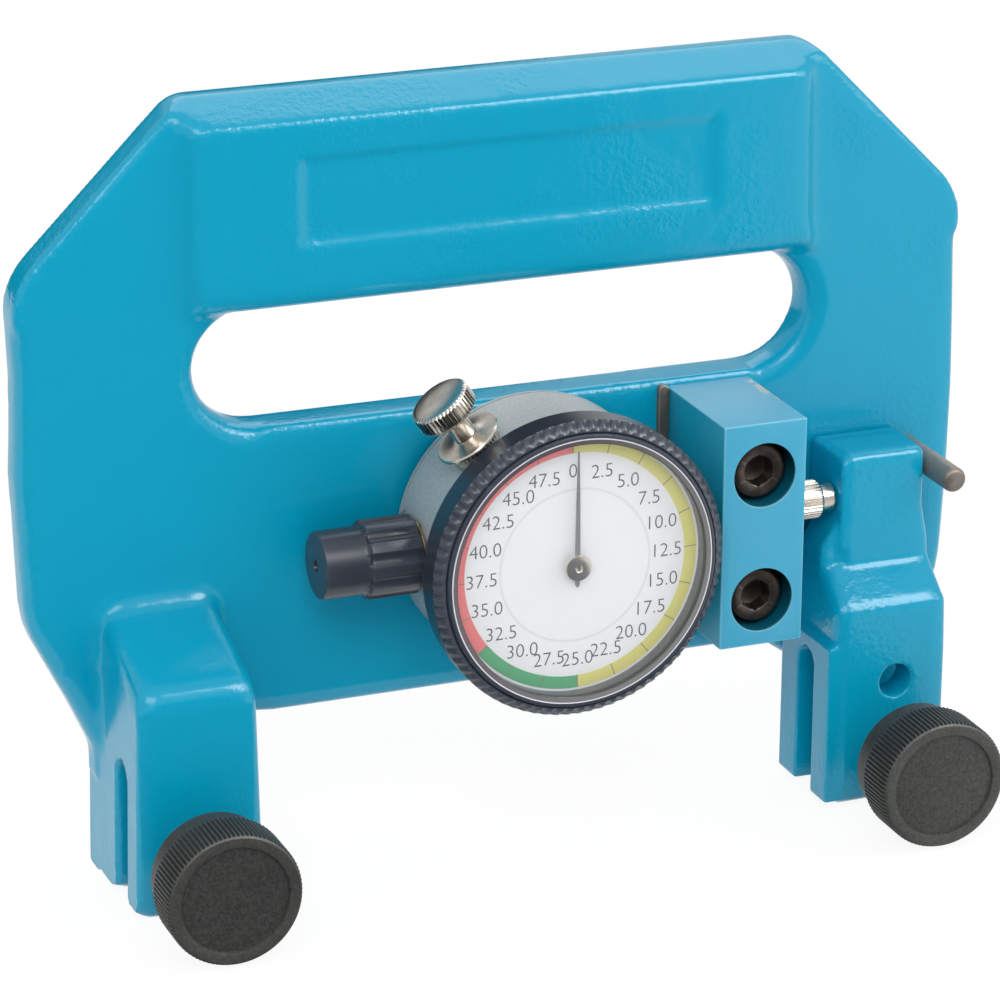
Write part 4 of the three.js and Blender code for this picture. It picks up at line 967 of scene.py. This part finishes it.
# %% Bezel clamp
WASHER_BASE = 25.6
WASHER_TOP = 29.7
washer_section = [
    (1.8, WASHER_BASE), (4.6, WASHER_BASE), (4.9, WASHER_BASE + 0.3), (4.9, 28.2), (5.0, 28.4),
    (6.0, 28.4), (6.35, 28.6), (6.35, 28.9), (6.1, 29.15), (4.6, 29.2), (2.9, WASHER_TOP - 0.1),
    (2.5, WASHER_TOP), (1.8, WASHER_TOP),
]
WASHER_RIDGES = 36
washer = knurled(washer_section, WASHER_RIDGES, 0.25, WASHER_BASE + 0.2, 28.25, 4.8)
piece(on_clamp_axis(washer), "clamp_flanged_washer", "frame", nickel, "bezel_clamp_washer")
THUMB_RIDGES = 44
HEAD_LOW, HEAD_HIGH = 34.7, 38.9
thumb_section = [
    (0, 22.0), (1.5, 22.0), (1.5, 29.8), (2.2, 29.8), (2.2, 33.2), (2.6, 34.4), (3.2, HEAD_LOW),
    (5.1, HEAD_LOW), (5.75, HEAD_LOW + 0.55), (5.8, HEAD_LOW + 0.65), (5.8, HEAD_HIGH - 0.75),
    (5.75, HEAD_HIGH - 0.65), (5.2, HEAD_HIGH - 0.25), (4.6, HEAD_HIGH - 0.12),
    (2.5, HEAD_HIGH - 0.02), (0, HEAD_HIGH),
]
thumb = knurled(thumb_section, THUMB_RIDGES, 0.3, HEAD_LOW + 0.4, HEAD_HIGH - 0.5, 5.7)
piece(on_clamp_axis(thumb), "clamp_thumb_screw", "bezel_clamp", nickel, "bezel_clamp_screw")
print("thumb screw stands", round(HEAD_HIGH - CASE_RADIUS, 1), "mm out of the case")

# %% [markdown]
# The dial is a printed disc. The coloured band and its ticks are drawn in the finish, from the angle
# and the distance of each point from the dial's middle. The scale has twenty steps of 18 degrees,
# and its zero stands a little left of the top, where the needle rests.

# %% Printed dial
DIAL_FRONT = 35.0
BAND_INNER, BAND_OUTER = 21.5, 23.9
STEPS = 20
ZERO_TURN = -1.8


def off_dial_middle(finish):
    """X and Z from the dial's middle and the distance to it, in millimetres."""
    x, z = finish.axis("X") - DIAL_X, finish.axis("Z")
    return x, z, (x * x + z * z) ** 0.5


def dial_print():
    dial = Finish("dial_white")
    x, z, radius = off_dial_middle(dial)
    turn = x.apply("ARCTAN2", z) / (2 * math.pi)
    part = (turn - ZERO_TURN / 360).apply("FRACT")
    in_band = radius.over(BAND_INNER, 0.08) * radius.under(BAND_OUTER, 0.08)
    warm = dial.mix(part.over(0.5, 0.0005), (0.745, 0.700, 0.150), (0.012, 0.400, 0.130))
    zones = dial.mix(part.over(0.65, 0.0005), warm, (0.92, 0.15, 0.155))
    off_tick = ((part * STEPS + 0.5).apply("FRACT") - 0.5).size()
    tick = (off_tick * radius).under(0.36, 0.14) * in_band
    paper = dial.noise(0.6, detail=2.0)
    cloud = dial.noise(14, detail=2.0)
    white = dial.mix(cloud * 0.4, (0.83, 0.84, 0.86), (0.90, 0.905, 0.92))
    printed = dial.mix(in_band, white, zones)
    printed = dial.mix(tick * 0.8, printed, (0.20, 0.17, 0.07))
    # A grey ring at the edge of the raised middle is a painted shadow of its step; the bump draws the
    # step.
    ring = radius.over(14.4, 0.3) * radius.under(14.8, 0.3)
    printed = dial.mix(ring * 0.3, printed, (0.45, 0.46, 0.48))
    normal = dial.bump(radius.under(14.6, 0.35) + paper * 0.02, 0.4, 0.06)
    return dial.surface(printed, 0.38 + paper * 0.08, normal=normal)


dial_white = dial_print()
dial_section = [(1.6, 34.6), (25.2, 34.6), (25.2, DIAL_FRONT), (1.6, DIAL_FRONT)]
dial_disc = in_depth(turned(dial_section, 160), DIAL_X)
piece(dial_disc, "printed_dial", "bezel", dial_white, "dial_face")
print("dial steps:", STEPS)

# %% [markdown]
# The numbers are text made into flat meshes, a few hundredths of a millimetre thick, as a screen
# print is. They stand upright all round the dial, centred on one circle.

# %% Dial numbers
NUMBER_CIRCLE = 18.2
NUMBER_HEIGHT = 2.55
NUMBER_TURN = -2.0
NUMBER_SQUEEZE = 0.98
NUMBER_STEP = 2.5
INK_THICKNESS = 0.02


def dial_ink():
    ink = Finish("dial_ink")
    fade = ink.noise(0.8, detail=3.0)
    colour = ink.mix(fade * 0.6, (0.030, 0.030, 0.034), (0.085, 0.085, 0.090))
    return ink.surface(colour, 0.45 + fade * 0.1)


def number_mesh(text):
    curve = bpy.data.curves.new("number", "FONT")
    curve.body, curve.size = text, 3.5
    curve.offset, curve.extrude, curve.resolution_u = -0.045, INK_THICKNESS / 2, 5
    return applied(put("number", curve))


def numbers():
    ring = bmesh.new()
    for i in range(STEPS):
        bm = number_mesh(f"{i * NUMBER_STEP:.1f}" if i else "0")
        bmesh.ops.remove_doubles(bm, verts=bm.verts, dist=1e-5)
        low = Vector([min(v.co[k] for v in bm.verts) for k in range(3)])
        high = Vector([max(v.co[k] for v in bm.verts) for k in range(3)])
        grow = NUMBER_HEIGHT / (high.y - low.y)
        angle = math.radians(i * 360 / STEPS + NUMBER_TURN)
        centre = Vector((DIAL_X + NUMBER_CIRCLE * math.sin(angle), -(DIAL_FRONT + INK_THICKNESS),
                         NUMBER_CIRCLE * math.cos(angle)))
        upright = Matrix.Rotation(math.pi / 2, 4, "X")
        size = Matrix.Diagonal((grow * NUMBER_SQUEEZE, grow, 1, 1))
        middle = Matrix.Translation(-(low + high) / 2)
        joined(ring, placed(bm, Matrix.Translation(centre) @ upright @ size @ middle))
    return ring


dial_numbers = piece(numbers(), "dial_numbers", "bezel", dial_ink(), sharp=30, slot="dial_white")
print("numbers:", len(dial_numbers.data.polygons), "faces")

# %% [markdown]
# The needle is a thin grey blade with a short tail, pressed on the centre arbor under a small
# bright cap with a dimple.

# %% Needle and its cap
NEEDLE_TAIL, NEEDLE_TIP = -4.0, 22.2


def needle_blade():
    bm = bmesh.new()
    outline = [
        (-0.5, 0.6), (-0.42, -3.4), (0, NEEDLE_TAIL), (0.42, -3.4), (0.5, 0.6), (0.36, 11),
        (0.12, 21.8), (0, NEEDLE_TIP), (-0.12, 21.8), (-0.36, 11),
    ]
    bm.faces.new([bm.verts.new((DIAL_X + x, -35.9, z)) for x, z in outline])
    return joined(extruded(bm, (0, -0.3, 0)), in_depth(rod(1.3, 35.5, 36.0, 32), DIAL_X))


def satin_needle():
    grey = Finish("needle_grey")
    brushed = grey.noise(0.3, detail=2.0, stretch=(3, 1, 0.2))
    colour = grey.mix(brushed, (0.17, 0.175, 0.185), (0.30, 0.305, 0.315))
    return grey.surface(colour, 0.35 + brushed * 0.1, 0.5)


needle_grey = satin_needle()
piece(needle_blade(), "needle_blade", "needle", needle_grey, "needle")
hub_section = [
    (0, 36.3), (2.35, 36.3), (2.5, 36.4), (2.5, 36.7), (2.42, 36.85), (2.2, 36.95), (0.75, 36.95),
    (0.62, 36.85), (0.5, 36.55), (0, 36.45),
]
piece(in_depth(turned(hub_section, 64), DIAL_X), "needle_cap", "needle", nickel, "needle_hub_cap")
print("needle is", NEEDLE_TIP - NEEDLE_TAIL, "mm long")

# %% [markdown]
# The lens is a clear plastic disc. It is nearly invisible here, except for a faint haze and the
# lamps' reflections, so it is a surface with a low alpha.

# %% Lens


def clear_plastic():
    clear = Finish("clear_lens")
    haze = clear.noise(20, detail=2.0)
    return clear.surface((0.92, 0.94, 0.96), 0.05, ior=1.49, alpha=0.05 + haze * 0.03)


lens_section = [(0, 37.4), (25.0, 37.4), (25.2, 37.6), (25.2, 38.2), (25.0, 38.4), (0, 38.4)]
lens = in_depth(turned(lens_section, 128), DIAL_X)
lens = piece(lens, "clear_disc", "bezel", clear_plastic(), "lens")
print("lens faces:", len(lens.data.polygons))

# %% [markdown]
# The bezel is moulded in the same dark plastic as the cap. It has a smooth collar, a front bevel
# with coarse ridges, a groove, and a plain ring round the lens, whose rim carries a painted highlight
# line.

# %% Bezel
BEZEL_RIDGES = 80
BEVEL_BACK, BEVEL_FRONT = 36.7, 38.35
bezel_section = [
    (25.8, 31.0), (27.6, 31.0), (28.0, 31.15), (28.15, 31.5), (28.15, BEVEL_BACK - 0.2),
    (28.25, BEVEL_BACK), (28.25, BEVEL_BACK + 0.3), (28.0, BEVEL_BACK + 0.7),
    (27.2, BEVEL_FRONT - 0.1), (26.95, BEVEL_FRONT), (26.4, BEVEL_FRONT), (26.35, 38.0),
    (26.15, 38.0), (26.1, 38.6), (25.95, 38.9), (25.7, 39.0), (25.45, 39.0), (25.4, 38.5),
    (25.5, 37.3), (24.3, 37.3), (24.3, 35.1), (25.5, 35.1), (25.5, 34.5), (25.8, 34.5),
]
bezel = knurled(bezel_section, BEZEL_RIDGES, 0.55, BEVEL_BACK + 0.2, BEVEL_FRONT + 0.05, 26.9)
piece(in_depth(bezel, DIAL_X), "bezel_ring", "bezel", navy, "bezel", sharp=40)


def crystal_edge():
    """The rim of the lens, in painted light: a thin white painted highlight outside, a grey painted
    reflection inside it that is lighter to the right and below, and painted shade at its inner edge.
    """
    rim = Finish("crystal_edge")
    x, z, radius = off_dial_middle(rim)
    haze = rim.noise(3, detail=2.0)
    # Painted reflection, lighter to the right and below, then a painted highlight outside and painted
    # shade inside.
    side = (x / 25.0 - z / 60.0).over(0.2, 1.6)
    grey = rim.mix(side, (0.105, 0.085, 0.10), (0.22, 0.235, 0.225))
    grey = rim.mix(haze * 0.25, grey, (0.16, 0.16, 0.17))
    colour = rim.mix(radius.over(25.12, 0.08), grey, (0.78, 0.77, 0.84))
    colour = rim.mix(radius.under(24.34, 0.08) * 0.7, colour, (0.05, 0.035, 0.04))
    return rim.surface(colour, 0.12 + haze * 0.08, ior=1.49)


rim_section = [
    (24.2, 38.42), (24.2, 38.6), (24.4, 38.72), (25.05, 38.86), (25.2, 38.95), (25.32, 38.95),
    (25.38, 38.85), (25.38, 38.42),
]
rim = in_depth(turned(rim_section, 160), DIAL_X)
piece(rim, "crystal_edge_ring", "bezel", crystal_edge(), sharp=40, slot="clear_lens")
print("bezel ridges:", BEZEL_RIDGES)

# %% [markdown]
# The arm turns on a pin that a snap ring holds in a pocket of the frame's back. These are seen only
# from behind, and they get round forms and the same bright steel.

# %% Pivot
PIVOT_HEIGHT = 35.3
pin_section = [
    (0, 0.45), (2.1, 0.45), (2.5, 0.8), (2.5, 1.2), (2.0, 1.2), (2.0, 2.2), (2.5, 2.2), (2.5, 25.7),
    (0, 25.7),
]
pin = in_depth(turned(pin_section, 64), CLAMP_X, PIVOT_HEIGHT)
piece(pin, "pivot_pin_turned", "arm", bright_steel, "pivot_pin")


def snap_ring():
    ring = turned([(2.1, 1.3), (4.1, 1.3), (4.2, 1.4), (4.2, 2.0), (4.1, 2.1), (2.1, 2.1)])
    mouth = block((CLAMP_X - 1.575, CLAMP_X + 1.575), (0, 8), (PIVOT_HEIGHT - 6, PIVOT_HEIGHT))
    return carved(in_depth(ring, CLAMP_X, PIVOT_HEIGHT), mouth)


piece(snap_ring(), "snap_ring", "arm", bright_steel, "pivot_retaining_ring")
bush_section = [(2.8, 2.5), (3.4, 2.5), (3.5, 2.6), (3.5, 8.7), (3.4, 8.8), (2.8, 8.8)]
bush = in_depth(turned(bush_section, 64), CLAMP_X, PIVOT_HEIGHT)
piece(bush, "pivot_bush_turned", "frame", brass, "pivot_bush")
print("pivot stands at", PIVOT_HEIGHT, "mm")

# %% [markdown]
# Four small screws hold the case's back cover. Each has a slot for a watchmaker's screwdriver.

# %% Cover screws


def cover_screw(number):
    low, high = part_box(f"back_cover_screw_{number}")
    x, height = (low.x + high.x) / 2 / MM, (low.z + high.z) / 2 / MM + FOOT_TO_MIDDLE
    front = -low.y / MM
    shape = [(0, 9.6), (0.75, 9.6), (0.9, 9.72), (1.1, 10.2), (0.6, 10.2), (0.6, front), (0, front)]
    screw = in_depth(turned(shape, 32), x, height)
    slot = block((x - 1.5, x + 1.5), (9.0, 9.85), (height - 0.14, height + 0.14))
    return piece(carved(screw, slot), f"cover_screw_{number}", "frame", bright_steel,
                 f"back_cover_screw_{number}")


for number in range(1, 5):
    cover_screw(number)
print("cover screws are in")

# %% [markdown]
# The indicator's works keep their solids: spindle, spring, plate, gears and arbors. They get the
# finishes that such works have, brass for the wheels and bright steel for the rest.

# %% Works
keeps = {
    "plunger": bright_steel, "return_spring": bright_steel, "movement_plate": brass,
    "rack_arbor_gear": brass, "second_arbor_gear": brass, "centre_arbor": brass,
}
for name, material in keeps.items():
    nodes[name].data.materials.clear()
    nodes[name].data.materials.append(material)
hidden = [name for name, thing in nodes.items() if thing.hide_render]
print("plain solids kept:", len(keeps), "and stood for:", len(hidden))

# %% [markdown]
# The meter stands on a pale floor under one wide soft lamp and an even white sky. The camera and
# glossy surfaces see the floor and the sky as white, and the floor still takes a faint shadow. A
# dark cloth lies in front on the left, and dark curtains hang in front and behind, all out of view:
# the enamel mirrors them and looks deeper.

# %% Floor, cloth and sky
FLOOR_HEIGHT = -FOOT_TO_MIDDLE * MM
FLOOR_REACH = 6.0
CLOTH_LEFT, CLOTH_FRONT = -1.6, -2.0


def sheet(name, corners, material):
    bm = bmesh.new()
    bm.faces.new([bm.verts.new(corner) for corner in corners])
    thing = put(name, mesh_of(bm, name))
    thing.data.materials.append(material)
    return thing


def seen_as_white(finish):
    """1 for rays from the camera, from mirrors and through glass."""
    kinds = ("Camera", "Glossy", "Transmission")
    rays = [finish.add("LightPath", out=f"Is {kind} Ray") for kind in kinds]
    return rays[0].apply("MAXIMUM", rays[1]).apply("MAXIMUM", rays[2])


def floor_finish():
    floor = Finish("floor")
    pale = floor.add("BsdfDiffuse", {"Color": (0.90, 0.90, 0.90)})
    white = floor.add("Emission", {"Color": (1.0, 1.0, 1.0), "Strength": 1.04})
    share = seen_as_white(floor) * 0.88
    return floor.close(floor.add("MixShader", {0: share, 1: pale, 2: white}))


def dark_cloth(slope):
    """Its right edge leans, and fades over some centimetres so that no mirrored edge shows."""
    cloth = Finish("cloth")
    right = cloth.axis("X") + cloth.axis("Y") * slope
    dark = cloth.add("Emission", {"Color": (0.0, 0.008, 0.012), "Strength": 1.0})
    clear = cloth.add("BsdfTransparent")
    return cloth.close(cloth.add("MixShader", {0: right.over(40, 26), 1: dark, 2: clear}))


def curtain(name, right, y, top, material):
    corners = [(CLOTH_LEFT, y, -0.05), (right, y, -0.05), (right, y, top), (CLOTH_LEFT, y, top)]
    return sheet(name, corners, material)


signs = ((-1, -1), (1, -1), (1, 1), (-1, 1))
sheet("floor", [(x * FLOOR_REACH, y * FLOOR_REACH, FLOOR_HEIGHT) for x, y in signs], floor_finish())
front_cloth = dark_cloth(0.45)
cloth_height = FLOOR_HEIGHT + 1 * MM
outline = [(CLOTH_LEFT, CLOTH_FRONT), (0.9, CLOTH_FRONT), (0.3, -0.05), (CLOTH_LEFT, -0.05)]
for dark in (
    sheet("cloth", [(x, y, cloth_height) for x, y in outline], front_cloth),
    curtain("front_curtain", 0.85, CLOTH_FRONT, 0.6, front_cloth),
    curtain("back_curtain", 0.4, 0.8, 0.36, dark_cloth(-0.36)),
):
    dark.visible_camera = dark.visible_diffuse = dark.visible_shadow = dark.visible_transmission = False

sky = bpy.data.worlds.new("sky")
bpy.context.scene.world = sky
sky.use_nodes = True
white_sky = sky.node_tree.nodes["Background"].inputs
white_sky["Color"].default_value, white_sky["Strength"].default_value = (1.0, 1.0, 1.0, 1.0), 0.72
print("floor at", round(FLOOR_HEIGHT / MM, 1), "mm")

# %% [markdown]
# In a studio a key lamp models the form and a side lamp opens the shadow. Two more are seen only in
# reflections: a wide panel above and behind draws the pale slopes, and a small one in front draws
# the bright lines on the arm's edges.

# %% Lamps


def soft_lamp(name, place, aim, width, height, energy):
    data = bpy.data.lights.new(name, "AREA")
    data.shape = "RECTANGLE"
    data.size, data.size_y, data.energy = width, height, energy
    lamp = put(name, data)
    lamp.location = place
    lamp.rotation_euler = (Vector(aim) - Vector(place)).to_track_quat("-Z", "Y").to_euler()
    return lamp


soft_lamp("key", (-0.45, -1.0, 1.0), (0, -0.02, 0.02), 0.9, 0.6, 7.0)
soft_lamp("side", (0.9, -0.5, 0.55), (0, -0.02, 0.02), 0.4, 0.8, 2.5)
for shine in (
    soft_lamp("panel", (0.6, 1.0, 1.6), (0.1, 0.0, 0.02), 2.0, 1.4, 16.0),
    soft_lamp("overhead", (0.55, -0.69, 0.74), (0.07, -0.03, 0.0), 0.45, 0.6, 8.0),
):
    shine.visible_diffuse = shine.visible_camera = False
bpy.context.scene.view_settings.view_transform = "Standard"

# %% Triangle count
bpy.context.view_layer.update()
triangles = sum(len(face.vertices) - 2 for thing in made for face in thing.data.polygons)
print("pieces made:", len(made), "with", triangles, "triangles")
